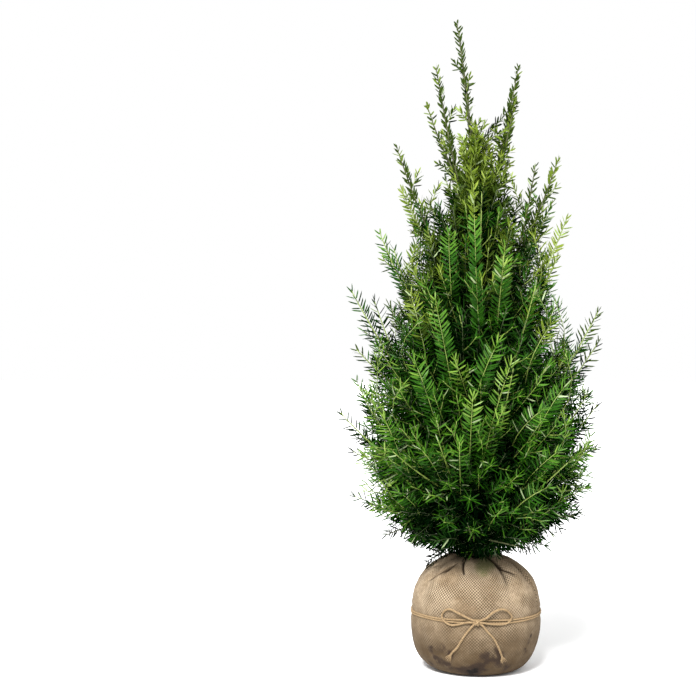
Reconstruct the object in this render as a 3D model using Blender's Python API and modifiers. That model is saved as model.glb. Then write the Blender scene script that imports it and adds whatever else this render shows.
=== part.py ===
"""English yew, about 1.3 m tall, on its burlap-wrapped root ball, which is tied round with twine in a bow.

Metres, +Z up. The origin is the centre of the ball's flat underside. The bow faces -Y, and +X is the
side to the right of it. Azimuths are degrees counted from +X towards +Y.
"""

import math

import bmesh
import bpy
from mathutils import Matrix, Vector, noise

# Clearance
GAP = 0.0003  # kept between pieces that touch
WELD = 0.000001  # points nearer than this are one
FLAT_ANGLE = math.radians(0.4)  # faces that meet at less are one

# Root ball
BALL_RADIUS = 0.131
BALL_WIDEST_HEIGHT = 0.100
BALL_CROWN_HEIGHT = 0.233  # where the shoulder's curve would meet the axis
SHOULDER_POWER = 2.4
FOOT_RADIUS = 0.075
FOOT_POWER = 2.1
RIM_HEIGHT = 0.228  # gathered edge of the burlap round the stem
SOIL_HEIGHT = 0.219
SOIL_RADIUS = 0.036
BALL_SIDES = 20
BALL_UPPER_RINGS = 7
BALL_LOWER_RINGS = 7
UPPER_RING_POWER = 0.8  # under one crowds the upper rings towards the rim

# Twine, two strands in a waist that they press into the ball
TWINE_RADIUS = 0.0018
TWINE_HEIGHT = 0.116
STRAND_SPACING = 0.0047
WAIST_DEPTH = 0.0025
WAIST_HALF_BAND = 0.0055
WAIST_FADE = 0.0090
TWINE_SIDES = 5

# Bow
KNOT_X = 0.003
KNOT_SIZE = (0.0052, 0.0034, 0.0046)  # half sizes
LOOP_LENGTH = {"left": 0.061, "right": 0.063}
LOOP_HALF_WIDTH = {"left": 0.0155, "right": 0.0140}
LOOP_RISE = {"left": 0.006, "right": 0.009}
LOOP_POINTS = 10
LOOP_OPENING = 24  # degrees of the loop's turn that the knot hides, at each end
LOOP_ROOT_SHARE = 0.04  # of a loop's length, the stretch of it that those degrees take
KNOT_SEGMENTS = 8
KNOT_RINGS = 6
LOOP_SETTLE = 0.0017  # how much nearer the burlap a loop's far end lies than its root
KNOT_SEAT = 0.0009  # how far the knot beds between the strands
TAIL_END = {"left": (-0.050, 0.0453), "right": (0.0538, 0.0400)}  # X and height
TAIL_BOW = {"left": 0.002, "right": 0.006}  # how far the middle of a tail swings out
TAIL_POINTS = 6
TAIL_SETTLE_RATE = 2.5  # a tail lies on the burlap after one part in this many of its length

# Trunk
TRUNK_RADIUS = 0.0130
TRUNK_TIP_RADIUS = 0.0012
TRUNK_TOP = 1.262
FLARE_RADIUS = 0.0190
FLARE_HEIGHT = 0.030
TRUNK_POINTS = 14
TRUNK_TAPER_POWER = 0.9
LEADER_TIP = 1.319
LEADER_LEAN = 0.038  # to the left at its tip
LEAN_START = 0.860

# Boughs
LOWEST_START = 0.236
STEEPEST_RISE = 0.37  # of a bough, from the trunk to its tip
LOW_START_SLOPE = 0.20
BEND_REACH = 0.50  # a bough's bend, as shares of its reach and of its rise
BEND_RISE = 0.33
LIMB_SHARE = 0.27  # of a bough's curve that is bare limb
LIMB_POINTS = 4
LIMB_TIP_RADIUS = 0.0020
LIMB_BASE_RADIUS = 0.0026  # of a bough that reaches nowhere, and what each metre of reach adds
LIMB_RADIUS_PER_REACH = 0.0085

# Masses of foliage
MASS_START_SHARE = 0.17
MASS_BASE_WIDTH = 0.018  # half width of the mass of a bough that reaches nowhere
MASS_WIDTH_PER_REACH = 0.175
MASS_SIDES = 7
MASS_RINGS = 6
SHOOT_SIDES = 5
SHOOT_RINGS = 5
SHOOT_FORK = 0.42  # where a side shoot leaves the bough's curve
SHOOT_WIDTH = 0.62  # of its mass's width
BELLY_SHIFT = 0.62  # under one brings the belly nearer the mass's start
BELLY_POWER = 1.25
SPIKE_START_POWER = 0.5
SPIKE_END_POWER = 0.35
SPIKE_RADIUS = 0.010
UNEVENNESS = 0.28
LUMP_SIZE = 0.055
THICKNESS = 0.85  # up and down, against its width
LEADER_MASS_START = 0.960
LEADER_WIDTH = 0.030
HEADING_STEP = 0.01  # share of a mass's curve over which its heading is taken
POLE = 0.0001  # share of its curve within which a point of a mass is its pole
MASS_PUSH = 2.5 * GAP  # how far a mass is swollen before it cuts the next one

# Side shoots of the leader: the height where each leaves the trunk, and its tip
LEADER_SHOOTS = (
    (1.045, Vector((0.080, -0.012, 1.151))),
    (0.985, Vector((0.060, -0.030, 1.091))),
)

# Each bough: azimuth, reach and height of its tip, then the same for its side shoots
BOUGHS = {
    "leader_left": (181, 0.081, 1.229, (172, 0.102, 1.155), (204, 0.094, 0.986)),
    "leader_right": (-2, 0.088, 1.2265, (20, 0.080, 1.120)),
    "top_left": (183, 0.163, 1.0665, (166, 0.160, 0.985)),
    "top_right": (-2, 0.170, 1.038, (-20, 0.128, 1.018), (10, 0.160, 0.950)),
    "top_front": (-84, 0.122, 0.960),
    "top_back": (92, 0.128, 1.060, (60, 0.145, 0.970)),
    "high_left": (178, 0.198, 0.890, (191, 0.170, 0.855)),
    "high_right": (3, 0.188, 0.919, (-14, 0.170, 0.835)),
    "high_front": (-118, 0.182, 0.740),
    "high_front_right": (-52, 0.190, 0.775),
    "high_back": (118, 0.200, 0.870),
    "middle_left": (181, 0.2565, 0.772, (170, 0.215, 0.753), (193, 0.248, 0.650)),
    "middle_right": (-3, 0.249, 0.7265, (7, 0.2566, 0.668)),
    "middle_front": (-72, 0.232, 0.615),
    "middle_back": (64, 0.238, 0.740, (88, 0.236, 0.660)),
    "lower_left": (179, 0.280, 0.519, (186, 0.245, 0.587), (170, 0.262, 0.435)),
    "lower_right": (2, 0.249, 0.537, (-10, 0.229, 0.564), (12, 0.2566, 0.445)),
    "lower_front": (-106, 0.255, 0.480, (-130, 0.250, 0.455)),
    "lower_front_right": (-48, 0.262, 0.435),
    "lower_back": (78, 0.258, 0.520, (52, 0.252, 0.470)),
    "lower_back_left": (126, 0.262, 0.560, (142, 0.250, 0.450)),
    "foot_left": (188, 0.2500, 0.3505, (196, 0.188, 0.273)),
    "foot_right": (-6, 0.2268, 0.372, (-16, 0.206, 0.318), (4, 0.156, 0.285)),
    "foot_front": (-94, 0.212, 0.320, (-62, 0.180, 0.268)),
    "foot_back": (96, 0.218, 0.330, (64, 0.195, 0.300)),
}

# Colours, roughness and metallic value
BURLAP = ("burlap", (0.48, 0.37, 0.24), 0.95, 0.0)
TWINE = ("twine", (0.56, 0.40, 0.22), 0.85, 0.0)
BARK = ("bark", (0.16, 0.10, 0.06), 0.85, 0.0)
NEEDLES = ("needles", (0.06, 0.13, 0.03), 0.60, 0.0)

PART = "english_yew"
CUTTERS = "cutters"


def clear_scene():
    """Removes every object of the startup file."""
    for thing in list(bpy.data.objects):
        bpy.data.objects.remove(thing)


def make_collections():
    """The part's own collection and another for the shapes that cut."""
    for name in (PART, CUTTERS):
        bpy.context.scene.collection.children.link(bpy.data.collections.new(name))


def material(look):
    """A Principled material of one colour."""
    name, colour, roughness, metallic = look
    finish = bpy.data.materials.new(name)
    finish.use_nodes = True
    shader = finish.node_tree.nodes["Principled BSDF"]
    shader.inputs["Base Color"].default_value = (*colour, 1.0)
    shader.inputs["Roughness"].default_value = roughness
    shader.inputs["Metallic"].default_value = metallic
    finish.diffuse_color = (*colour, 1.0)
    return finish


def add_object(name, data, look, collection=PART):
    """Links a new object for this mesh or curve, with a material of its own where it has a look."""
    thing = bpy.data.objects.new(name, data)
    bpy.data.collections[collection].objects.link(thing)
    if look:
        thing.data.materials.append(material(look))
    return thing


def as_cutter(thing):
    """Keeps a shape out of the part, as a wire outline."""
    thing.hide_render = True
    thing.display_type = "WIRE"
    return thing


def baked_mesh(thing):
    """The object's shape with its modifiers or bevel applied, as a new mesh."""
    bpy.context.view_layer.update()
    depsgraph = bpy.context.evaluated_depsgraph_get()
    return bpy.data.meshes.new_from_object(thing.evaluated_get(depsgraph))


def finish_closed(mesh):
    """Joins loose caps, turns the faces outwards, and splits bent faces so that each one is flat."""
    work = bmesh.new()
    work.from_mesh(mesh)
    bmesh.ops.remove_doubles(work, verts=work.verts, dist=WELD)
    bmesh.ops.recalc_face_normals(work, faces=work.faces)
    bmesh.ops.triangulate(work, faces=work.faces)
    work.to_mesh(mesh)
    work.free()
    mesh.shade_smooth()


def keep_largest_island(mesh):
    """Deletes all but the biggest connected piece of a mesh, and splits its faces into triangles."""
    work = bmesh.new()
    work.from_mesh(mesh)
    unseen = set(work.verts)
    islands = []
    while unseen:
        front = [unseen.pop()]
        island = set(front)
        while front:
            for edge in front.pop().link_edges:
                for vert in edge.verts:
                    if vert in unseen:
                        unseen.discard(vert)
                        island.add(vert)
                        front.append(vert)
        islands.append(island)
    islands.sort(key=len, reverse=True)
    for island in islands[1:]:
        bmesh.ops.delete(work, geom=list(island), context="VERTS")
    bmesh.ops.dissolve_limit(work, angle_limit=FLAT_ANGLE, verts=work.verts, edges=work.edges)
    bmesh.ops.triangulate(work, faces=work.faces)
    work.to_mesh(mesh)
    work.free()


def combine(thing, others, operation):
    """Joins or cuts an object with the others, one Boolean after another, and keeps the largest piece.

    The exact solver empties a mass where two lumpy masses graze each other, so this uses the manifold one.
    """
    for other in others:
        modifier = thing.modifiers.new("combine", "BOOLEAN")
        modifier.operation = operation
        modifier.solver = "MANIFOLD"
        modifier.object = other
        mesh = baked_mesh(thing)
        thing.modifiers.clear()
        thing.data = mesh
        keep_largest_island(thing.data)


def boxes_meet(one, other):
    """Whether the boxes round two meshed objects overlap."""
    lows = []
    highs = []
    for thing in (one, other):
        points = [vert.co for vert in thing.data.vertices]
        lows.append([min(p[axis] for p in points) for axis in range(3)])
        highs.append([max(p[axis] for p in points) for axis in range(3)])
    return all(lows[0][a] < highs[1][a] and lows[1][a] < highs[0][a] for a in range(3))


def tube(name, points, radii, look, collection=PART, bevel_resolution=1):
    """A tapering round tube with filled caps through these points, as a closed mesh."""
    curve = bpy.data.curves.new(name, "CURVE")
    curve.dimensions = "3D"
    curve.bevel_depth = 1.0
    curve.bevel_resolution = bevel_resolution
    curve.use_fill_caps = True
    spline = curve.splines.new("POLY")
    spline.points.add(len(points) - 1)
    for place, point, radius in zip(spline.points, points, radii):
        place.co = (*point, 1.0)
        place.radius = radius
    guide = add_object(name + "_guide", curve, None, collection)
    mesh = baked_mesh(guide)
    bpy.data.objects.remove(guide)
    made = add_object(name, mesh, look, collection)
    finish_closed(made.data)
    return made


def smooth_step(x):
    """Eases from 0 to 1 as x goes from 0 to 1."""
    x = min(max(x, 0.0), 1.0)
    return x * x * (3.0 - 2.0 * x)


def ball_radius(height):
    """The burlap's radius: a superellipse for the shoulder, another for the foot, less the twine's waist."""
    if height > BALL_WIDEST_HEIGHT:
        share = (height - BALL_WIDEST_HEIGHT) / (BALL_CROWN_HEIGHT - BALL_WIDEST_HEIGHT)
        radius = BALL_RADIUS * (1.0 - share**SHOULDER_POWER) ** (1.0 / SHOULDER_POWER)
    else:
        share = (BALL_WIDEST_HEIGHT - height) / BALL_WIDEST_HEIGHT
        swell = (1.0 - share**FOOT_POWER) ** (1.0 / FOOT_POWER)
        radius = FOOT_RADIUS + (BALL_RADIUS - FOOT_RADIUS) * swell
    from_band = abs(height - TWINE_HEIGHT) - WAIST_HALF_BAND
    return radius - WAIST_DEPTH * (1.0 - smooth_step(from_band / WAIST_FADE))


def root_ball():
    """The wrapped ball: its outline turned round the axis, with a flat foot and a dish of soil on top."""
    band = (WAIST_HALF_BAND + WAIST_FADE, WAIST_HALF_BAND + WAIST_FADE / 2, WAIST_HALF_BAND)
    waist = [TWINE_HEIGHT + d for d in band] + [TWINE_HEIGHT] + [TWINE_HEIGHT - d for d in reversed(band)]
    heights = []
    for i in range(BALL_UPPER_RINGS):
        angle = math.pi / 2 * (1.0 - i / BALL_UPPER_RINGS)
        share = math.sin(angle) ** UPPER_RING_POWER
        heights.append(waist[0] + (RIM_HEIGHT - waist[0]) * share)
    heights += waist
    for i in range(1, BALL_LOWER_RINGS + 1):
        heights.append(waist[-1] * (1.0 - math.sin(math.pi / 2 * i / BALL_LOWER_RINGS)))
    outline = [(0.0, SOIL_HEIGHT), (SOIL_RADIUS, SOIL_HEIGHT)]
    outline += [(ball_radius(height), height) for height in heights]
    outline.append((0.0, 0.0))

    work = bmesh.new()
    verts = [work.verts.new((radius, 0.0, height)) for radius, height in outline]
    for one, other in zip(verts, verts[1:]):
        work.edges.new((one, other))
    mesh = bpy.data.meshes.new("root_ball")
    work.to_mesh(mesh)
    work.free()
    ball = add_object("root_ball", mesh, BURLAP)
    screw = ball.modifiers.new("turn", "SCREW")
    screw.steps = BALL_SIDES
    screw.render_steps = BALL_SIDES
    screw.use_merge_vertices = True
    screw.merge_threshold = 0.0001
    mesh = baked_mesh(ball)
    ball.modifiers.clear()
    ball.data = mesh
    finish_closed(ball.data)
    return ball


def strand_ring_radius():
    """How far the middle of a strand lies from the axis, so that it rests on the waist."""
    reach = STRAND_SPACING / 2 + TWINE_RADIUS
    steps = 8
    widest = max(ball_radius(TWINE_HEIGHT + reach * (2 * i / steps - 1)) for i in range(steps + 1))
    return widest + GAP + TWINE_RADIUS


def twine_strand(name, height):
    """One strand round the ball, with as many sides as the ball, so that its gap is even."""
    bpy.ops.mesh.primitive_torus_add(
        major_segments=BALL_SIDES,
        minor_segments=TWINE_SIDES,
        major_radius=strand_ring_radius(),
        minor_radius=TWINE_RADIUS,
        location=(0.0, 0.0, height),
    )
    ring = bpy.context.object
    for collection in list(ring.users_collection):
        collection.objects.unlink(ring)
    bpy.data.collections[PART].objects.link(ring)
    ring.name = name
    ring.data.materials.append(material(TWINE))
    ring.data.shade_smooth()
    return ring


def on_ball(x, height, lift):
    """The point of the ball's front face at this X and height, lifted off the burlap."""
    radius = ball_radius(height) + lift
    return Vector((x, -math.sqrt(radius * radius - x * x), height))


def bow_knot():
    """The knot: a squashed ball that sits on the front of both strands."""
    work = bmesh.new()
    bmesh.ops.create_uvsphere(work, u_segments=KNOT_SEGMENTS, v_segments=KNOT_RINGS, radius=1.0)
    bmesh.ops.scale(work, verts=work.verts, vec=KNOT_SIZE)
    depth = strand_ring_radius() + TWINE_RADIUS + GAP + KNOT_SIZE[1] - KNOT_SEAT
    place = Matrix.Translation((KNOT_X, -depth, TWINE_HEIGHT))
    bmesh.ops.transform(work, matrix=place, verts=work.verts)
    mesh = bpy.data.meshes.new("bow_knot")
    work.to_mesh(mesh)
    work.free()
    knot = add_object("bow_knot", mesh, TWINE)
    finish_closed(knot.data)
    return knot


def bow_lift():
    """How far the bow's twine lies off the burlap where it crosses the strands."""
    return strand_ring_radius() - ball_radius(TWINE_HEIGHT) + 2 * TWINE_RADIUS + GAP


def bow_loop(side):
    """A loop of twine: a drop-shaped turn that leaves the knot above and comes back to it below."""
    sign = -1.0 if side == "left" else 1.0
    root = KNOT_X + sign * (KNOT_SIZE[0] - LOOP_LENGTH[side] * LOOP_ROOT_SHARE + TWINE_RADIUS)
    points = []
    for i in range(LOOP_POINTS):
        turn = math.radians(LOOP_OPENING + (360 - 2 * LOOP_OPENING) * i / (LOOP_POINTS - 1))
        along = (1.0 - math.cos(turn)) / 2
        swell = math.sin(turn) * math.sin(turn / 2)
        x = root + sign * LOOP_LENGTH[side] * along
        height = TWINE_HEIGHT + LOOP_RISE[side] * along + LOOP_HALF_WIDTH[side] * swell
        points.append(on_ball(x, height, bow_lift() + GAP - LOOP_SETTLE * along))
    return tube("bow_loop_" + side, points, [TWINE_RADIUS] * LOOP_POINTS, TWINE)


def bow_tail(side):
    """A loose end of the bow, from under the knot down the face of the burlap."""
    sign = -1.0 if side == "left" else 1.0
    end_x, end_height = TAIL_END[side]
    start_x = KNOT_X + sign * KNOT_SIZE[0] / 2
    start_height = TWINE_HEIGHT - KNOT_SIZE[2] - TWINE_RADIUS - GAP
    points = []
    for i in range(TAIL_POINTS):
        share = i / (TAIL_POINTS - 1)
        swing = TAIL_BOW[side] * math.sin(math.pi * share)
        x = start_x + (end_x - start_x) * share + sign * swing
        height = start_height + (end_height - start_height) * share
        settle = smooth_step(share * TAIL_SETTLE_RATE)
        lift = bow_lift() + (TWINE_RADIUS + 2 * GAP - bow_lift()) * settle
        points.append(on_ball(x, height, lift))
    return tube("bow_tail_" + side, points, [TWINE_RADIUS] * TAIL_POINTS, TWINE)


def trunk_centre(height):
    """The trunk's centre line, which leans to the left towards its tip."""
    share = max(height - LEAN_START, 0.0) / (LEADER_TIP - LEAN_START)
    return Vector((-LEADER_LEAN * share * share, 0.0, height))


def trunk_radius(height):
    """The trunk's taper, with the root flare over the soil."""
    share = (height - SOIL_HEIGHT) / (TRUNK_TOP - SOIL_HEIGHT)
    taper = TRUNK_RADIUS + (TRUNK_TIP_RADIUS - TRUNK_RADIUS) * share**TRUNK_TAPER_POWER
    flare = (FLARE_RADIUS - TRUNK_RADIUS) * (1.0 - smooth_step((height - SOIL_HEIGHT) / FLARE_HEIGHT))
    return taper + flare


def trunk(name, look, swell=0.0, collection=PART):
    """The whole trunk, from its flat cut on the soil to its tip, or a copy swollen by the gap."""
    low = SOIL_HEIGHT + GAP
    heights = [low, low + FLARE_HEIGHT / 3, low + FLARE_HEIGHT * 2 / 3, low + FLARE_HEIGHT]
    above = TRUNK_POINTS - len(heights)
    heights += [heights[-1] + (TRUNK_TOP + swell - heights[-1]) * (i + 1) / above for i in range(above)]
    points = [trunk_centre(height) for height in heights]
    radii = [trunk_radius(min(height, TRUNK_TOP)) + swell for height in heights]
    return tube(name, points, radii, look, collection, bevel_resolution=2)


def outward(azimuth, reach, height):
    """The point at this azimuth, distance from the axis and height."""
    angle = math.radians(azimuth)
    return Vector((reach * math.cos(angle), reach * math.sin(angle), height))


def bent(start, tip):
    """A curve with one bend, which leaves its start flat and turns up to its tip."""
    bend = start.lerp(tip, BEND_REACH)
    bend.z = start.z + BEND_RISE * (tip.z - start.z)
    return start, bend, tip


def bough_curve(azimuth, reach, tip_height):
    """Start, bend and tip of a bough, which leaves the trunk flat and turns up."""
    lowest = LOWEST_START + LOW_START_SLOPE * (tip_height - LOWEST_START)
    start = trunk_centre(max(tip_height - STEEPEST_RISE, lowest))
    return bent(start, outward(azimuth, reach, tip_height))


def along_curve(curve, share):
    """The point at this share of a curve with one bend."""
    start, bend, tip = curve
    return start * (1 - share) ** 2 + bend * 2 * share * (1 - share) + tip * share**2


def limb_radius(reach, share):
    """A limb's taper from the trunk to where it enters its mass."""
    thick = LIMB_BASE_RADIUS + LIMB_RADIUS_PER_REACH * reach
    return thick + (LIMB_TIP_RADIUS - thick) * share


def limb(name, curve, reach, look, swell=0.0, collection=PART):
    """One tapering limb along the first stretch of its bough, or a copy swollen by the gap."""
    points = []
    radii = []
    end = LIMB_SHARE + swell / reach
    for i in range(LIMB_POINTS):
        share = i / (LIMB_POINTS - 1)
        points.append(along_curve(curve, end * share))
        radii.append(limb_radius(reach, share) + swell)
    return tube(name, points, radii, look, collection)


def flame_radius(share, width):
    """A mass's radius along its axis: a belly low down, then a thin spike out to the tip."""
    belly = width * math.sin(math.pi * share**BELLY_SHIFT) ** BELLY_POWER
    return belly + SPIKE_RADIUS * share**SPIKE_START_POWER * (1.0 - share) ** SPIKE_END_POWER


def flame(name, curve_point, side, width, sides, rings, look=None, collection=CUTTERS):
    """A sphere drawn out along a curve into a flame, and made uneven by smooth noise."""
    work = bmesh.new()
    bmesh.ops.create_uvsphere(work, u_segments=sides, v_segments=rings, radius=1.0)
    for vert in work.verts:
        share = 1.0 - math.acos(min(max(vert.co.z, -1.0), 1.0)) / math.pi
        turn = math.atan2(vert.co.y, vert.co.x)
        centre = curve_point(share)
        ahead = curve_point(min(share + HEADING_STEP, 1.0)) - curve_point(max(share - HEADING_STEP, 0.0))
        up = ahead.normalized().cross(side).normalized()
        if share < POLE or share > 1.0 - POLE:
            vert.co = centre
            continue
        across = side * math.cos(turn) + up * math.sin(turn) * THICKNESS
        radius = flame_radius(share, width)
        lumps = 1.0 + UNEVENNESS * 2.0 * noise.noise((centre + across * radius) / LUMP_SIZE)
        vert.co = centre + across * radius * lumps
    mesh = bpy.data.meshes.new(name)
    work.to_mesh(mesh)
    work.free()
    made = add_object(name, mesh, look, collection)
    finish_closed(made.data)
    return made


def mass_width(reach):
    """How wide a mass is, half across, for how far its bough reaches."""
    return MASS_BASE_WIDTH + MASS_WIDTH_PER_REACH * reach


def side_shoot(name, fork, tip, across, width):
    """A smaller flame from a fork in a mass out to a tip; its flat side lies across this direction."""
    curve = bent(fork, tip)
    side = (tip - fork).cross(across).normalized()

    def point(share):
        return along_curve(curve, share)

    return flame(name, point, side, width * SHOOT_WIDTH, SHOOT_SIDES, SHOOT_RINGS)


def join_shoots(mass, extras):
    """Joins its side shoots onto a mass, and keeps their own shapes out of the part."""
    combine(mass, extras, "UNION")
    for extra in extras:
        as_cutter(extra)
    return mass


def bough_mass(name, curve, azimuth, reach, shoots):
    """A bough's foliage: a flame along the bough, joined by a smaller one for each side shoot."""
    side = outward(azimuth + 90, 1.0, 0.0)
    width = mass_width(reach)

    def main_point(share):
        return along_curve(curve, MASS_START_SHARE + (1.0 - MASS_START_SHARE) * share)

    mass = flame(name, main_point, side, width, MASS_SIDES, MASS_RINGS, NEEDLES, PART)
    fork = along_curve(curve, SHOOT_FORK)
    extras = []
    for index, shoot in enumerate(shoots):
        shoot_name = f"{name}_shoot_{index}"
        extras.append(side_shoot(shoot_name, fork, outward(*shoot), Vector((0.0, 0.0, 1.0)), width))
    return join_shoots(mass, extras)


def leader_mass():
    """The foliage of the leading shoot, round the top of the trunk, with its two highest side shoots."""

    def leader_point(share):
        return trunk_centre(LEADER_MASS_START + (LEADER_TIP - LEADER_MASS_START) * share)

    side = Vector((1.0, 0.0, 0.0))
    mass = flame("mass_leader", leader_point, side, LEADER_WIDTH, MASS_SIDES, MASS_RINGS, NEEDLES, PART)
    extras = []
    for index, (fork_height, tip) in enumerate(LEADER_SHOOTS):
        name = f"mass_leader_shoot_{index}"
        fork = trunk_centre(fork_height)
        extras.append(side_shoot(name, fork, tip, Vector((0.0, 1.0, 0.0)), LEADER_WIDTH))
    return join_shoots(mass, extras)


def swollen_copy(mass):
    """A cutter that is a finished mass pushed out by the gap."""
    cutter = add_object(mass.name + "_swollen", mass.data.copy(), None, CUTTERS)
    push = cutter.modifiers.new("push", "DISPLACE")
    push.strength = MASS_PUSH
    push.mid_level = 0.0
    mesh = baked_mesh(cutter)
    cutter.modifiers.clear()
    cutter.data = mesh
    return as_cutter(cutter)


def build_crown():
    """The trunk, its limbs and their masses, each cut clear of what was made before it."""
    trunk("trunk", BARK)
    swollen_trunk = as_cutter(trunk("trunk_swollen", None, GAP, CUTTERS))
    curves = {name: bough_curve(*bough[:3]) for name, bough in BOUGHS.items()}
    swollen_limbs = []
    for name, bough in BOUGHS.items():
        made = limb("limb_" + name, curves[name], bough[1], BARK)
        combine(made, [swollen_trunk], "DIFFERENCE")
        cutter = limb("limb_" + name + "_swollen", curves[name], bough[1], None, GAP, CUTTERS)
        swollen_limbs.append(as_cutter(cutter))

    masses = [leader_mass()]
    for name, bough in BOUGHS.items():
        masses.append(bough_mass("mass_" + name, curves[name], bough[0], bough[1], bough[3:]))
    finished = []
    for mass in masses:
        near = [c for c in [swollen_trunk] + swollen_limbs + finished if boxes_meet(mass, c)]
        combine(mass, near, "DIFFERENCE")
        finished += [swollen_copy(mass), mass]


def build():
    """Makes every piece of the part."""
    clear_scene()
    make_collections()
    root_ball()
    twine_strand("twine_upper", TWINE_HEIGHT + STRAND_SPACING / 2)
    twine_strand("twine_lower", TWINE_HEIGHT - STRAND_SPACING / 2)
    bow_knot()
    for side in ("left", "right"):
        bow_loop(side)
        bow_tail(side)
    build_crown()


build()
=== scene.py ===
"""Looks of a young English yew on its burlap root ball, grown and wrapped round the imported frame.

Metres, +Z up, the bow on -Y. Every new piece is a surface worked out with numpy: a function of two
parameters on a grid, or a profile carried along a path.
"""

import math

import bpy
import numpy as np
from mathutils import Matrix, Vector
from mathutils.bvhtree import BVHTree


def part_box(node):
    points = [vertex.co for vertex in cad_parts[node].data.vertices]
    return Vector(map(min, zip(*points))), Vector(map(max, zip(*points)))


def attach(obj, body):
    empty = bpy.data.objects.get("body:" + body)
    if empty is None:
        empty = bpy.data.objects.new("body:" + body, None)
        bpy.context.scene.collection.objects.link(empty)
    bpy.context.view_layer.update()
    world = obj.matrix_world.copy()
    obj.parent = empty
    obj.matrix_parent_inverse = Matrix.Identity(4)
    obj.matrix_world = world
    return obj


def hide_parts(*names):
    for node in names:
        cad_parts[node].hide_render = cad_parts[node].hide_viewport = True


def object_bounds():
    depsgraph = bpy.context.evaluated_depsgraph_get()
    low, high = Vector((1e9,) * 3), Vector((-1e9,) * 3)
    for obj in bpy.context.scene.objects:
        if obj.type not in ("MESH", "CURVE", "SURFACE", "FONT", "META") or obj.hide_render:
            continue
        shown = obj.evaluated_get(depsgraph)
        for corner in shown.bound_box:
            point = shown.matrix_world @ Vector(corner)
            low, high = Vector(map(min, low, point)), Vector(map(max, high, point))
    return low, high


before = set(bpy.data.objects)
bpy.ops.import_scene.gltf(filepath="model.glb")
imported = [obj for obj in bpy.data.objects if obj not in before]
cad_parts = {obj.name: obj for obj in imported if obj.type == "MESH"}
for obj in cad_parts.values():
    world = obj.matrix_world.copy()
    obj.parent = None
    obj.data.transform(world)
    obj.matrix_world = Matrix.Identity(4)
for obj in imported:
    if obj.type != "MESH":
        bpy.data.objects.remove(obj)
cad_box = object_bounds()

BODY = "root"
TIP_ROOM = 0.006  # kept free inside the box, for the tips of side shoots
BOX_LOW = np.array(cad_box[0])[:2] + TIP_ROOM
BOX_HIGH = np.array(cad_box[1])[:2] - TIP_ROOM
UP = np.array([0.0, 0.0, 1.0])
LEVEL = np.array([1.0, 1.0, 0.0])  # times a place, its level part
GOLDEN_ANGLE = math.radians(137.508)
MOST_TRIANGLES = 190000  # in one joined piece

# The photograph's camera
CAMERA_HEIGHT = 0.65
CAMERA_DISTANCE = 2.78
CAMERA_TURN = math.radians(5.37)  # to the left, so that the plant stands right of the middle
LENS = 70.1  # millimetres, on a sensor of the width below
SENSOR_WIDTH = 36.0

# The frame's nodes: sides of the trunk and of a limb, and the names of the boughs and masses
TRUNK_SIDES = 8
LIMB_SIDES = 6
BOUGHS = sorted(name.removeprefix("limb_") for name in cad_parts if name.startswith("limb_"))
MASSES = sorted(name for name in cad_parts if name.startswith("mass_"))

# Side shoots along a bough, and the sprigs along a shoot
LATERAL_SPACING = 0.0310
LATERAL_LENGTHS = (0.035, 0.150)
LATERAL_SHORTEST = 0.014  # shorter ones are left out
SPRIG_SPACING = 0.046
SPRIG_LENGTHS = (0.032, 0.070)
SPRIG_START = (0.012, 0.022)  # bare stretch below the first
SPRIG_TIP = 0.025  # and above the last
SPRIG_SHARE = (0.50, 0.78)  # a sprig's length, of what is left of its shoot
SPRIGGED_LENGTH = 0.125  # shoots shorter than this have none
UNEVEN = (0.75, 1.25)  # the least and most of a spacing
FORK_SHARE = 0.24  # how far along the main axis the others of a mass leave it
FORK_THINNER = 0.8
FORK_APART = 0.03  # tips nearer than this to the main one get no axis
FORK_REACH = 0.35  # nor do those nearer to the base, as a share of the main axis
TIP_INSIDE = 0.985  # an axis ends at this share of the way to its mass's tip
BEND_REACH = 0.50  # where an axis bends, as a share of its way outwards and of its rise
BEND_RISE = 0.33
AXIS_STATIONS = 16
GREEN_LENGTH = 0.28  # of this year's growth at the end of an axis, in needles, and on the shorter axes
SHORT_GREEN = 0.17
SHORT_BARE = 0.07  # the shorter axes have a bare tip below this
LEADING_HEIGHT = 1.0  # axes that end above it have short needles all round an olive stem
FOOT_HEIGHT = 0.33  # axes that end below it have an olive stem too
# Length of an axis's tip with needles and no side shoots, by tier, and in the leader's mass
BARE_TIPS = {"leader": 0.095, "top": 0.075, "high": 0.075, "middle": 0.080, "lower": 0.060, "foot": 0.035}
# How sprays turn: they begin to face along the crown's surface at this share of its radius, within this much
FREE_SHARE = 0.85
FREE_WIDTH = 0.035
ROLL = 0.40
SHOOT_RADIUS = 0.0012
TAIL_RADIUS = 0.0014
# The share of needles that stand all round a shoot: at least, and what steepness and height add. Three such
# numbers are, here and below, the most that is added, where it sets in and where it is full
ROUND_LEAST = 0.03
ROUND_STEEP = (0.16, 0.80, 1.00)
ROUND_HIGH = (0.30, 0.88, 1.10)
ROUND_TAIL = 0.30  # on an axis's tail, and on the highest of them
ROUND_LEADING = 0.8
LEAST_LIFT = 0.05  # how strongly shoots turn up at the foot, and what height adds
LIFT = (0.42, 0.27, 0.62)

# Tone, how light a shoot's green is, in part painted light and shade: its base, what height and the outside
# add, what the foot takes away, and chance
TONE_BASE = -0.055
TONE_HIGH = 0.22
TONE_OUTSIDE = 0.29
TONE_LOW = 0.04
TONE_CHANCE = 0.085
CROWN_FOOT = 0.24  # where the crown begins, and how far it rises from there
CROWN_RISE = 1.08
UPPER_LIGHT = (0.35, 0.62, 0.92)  # what the upper crown adds to the height's share
TOP_SHADE = (0.95, 1.07, 1.21)  # and what the very top takes away
INNER_SHADE = (0.85, 0.78, 0.98)  # how much of the inside's shade is gone where the crown is thin
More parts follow.
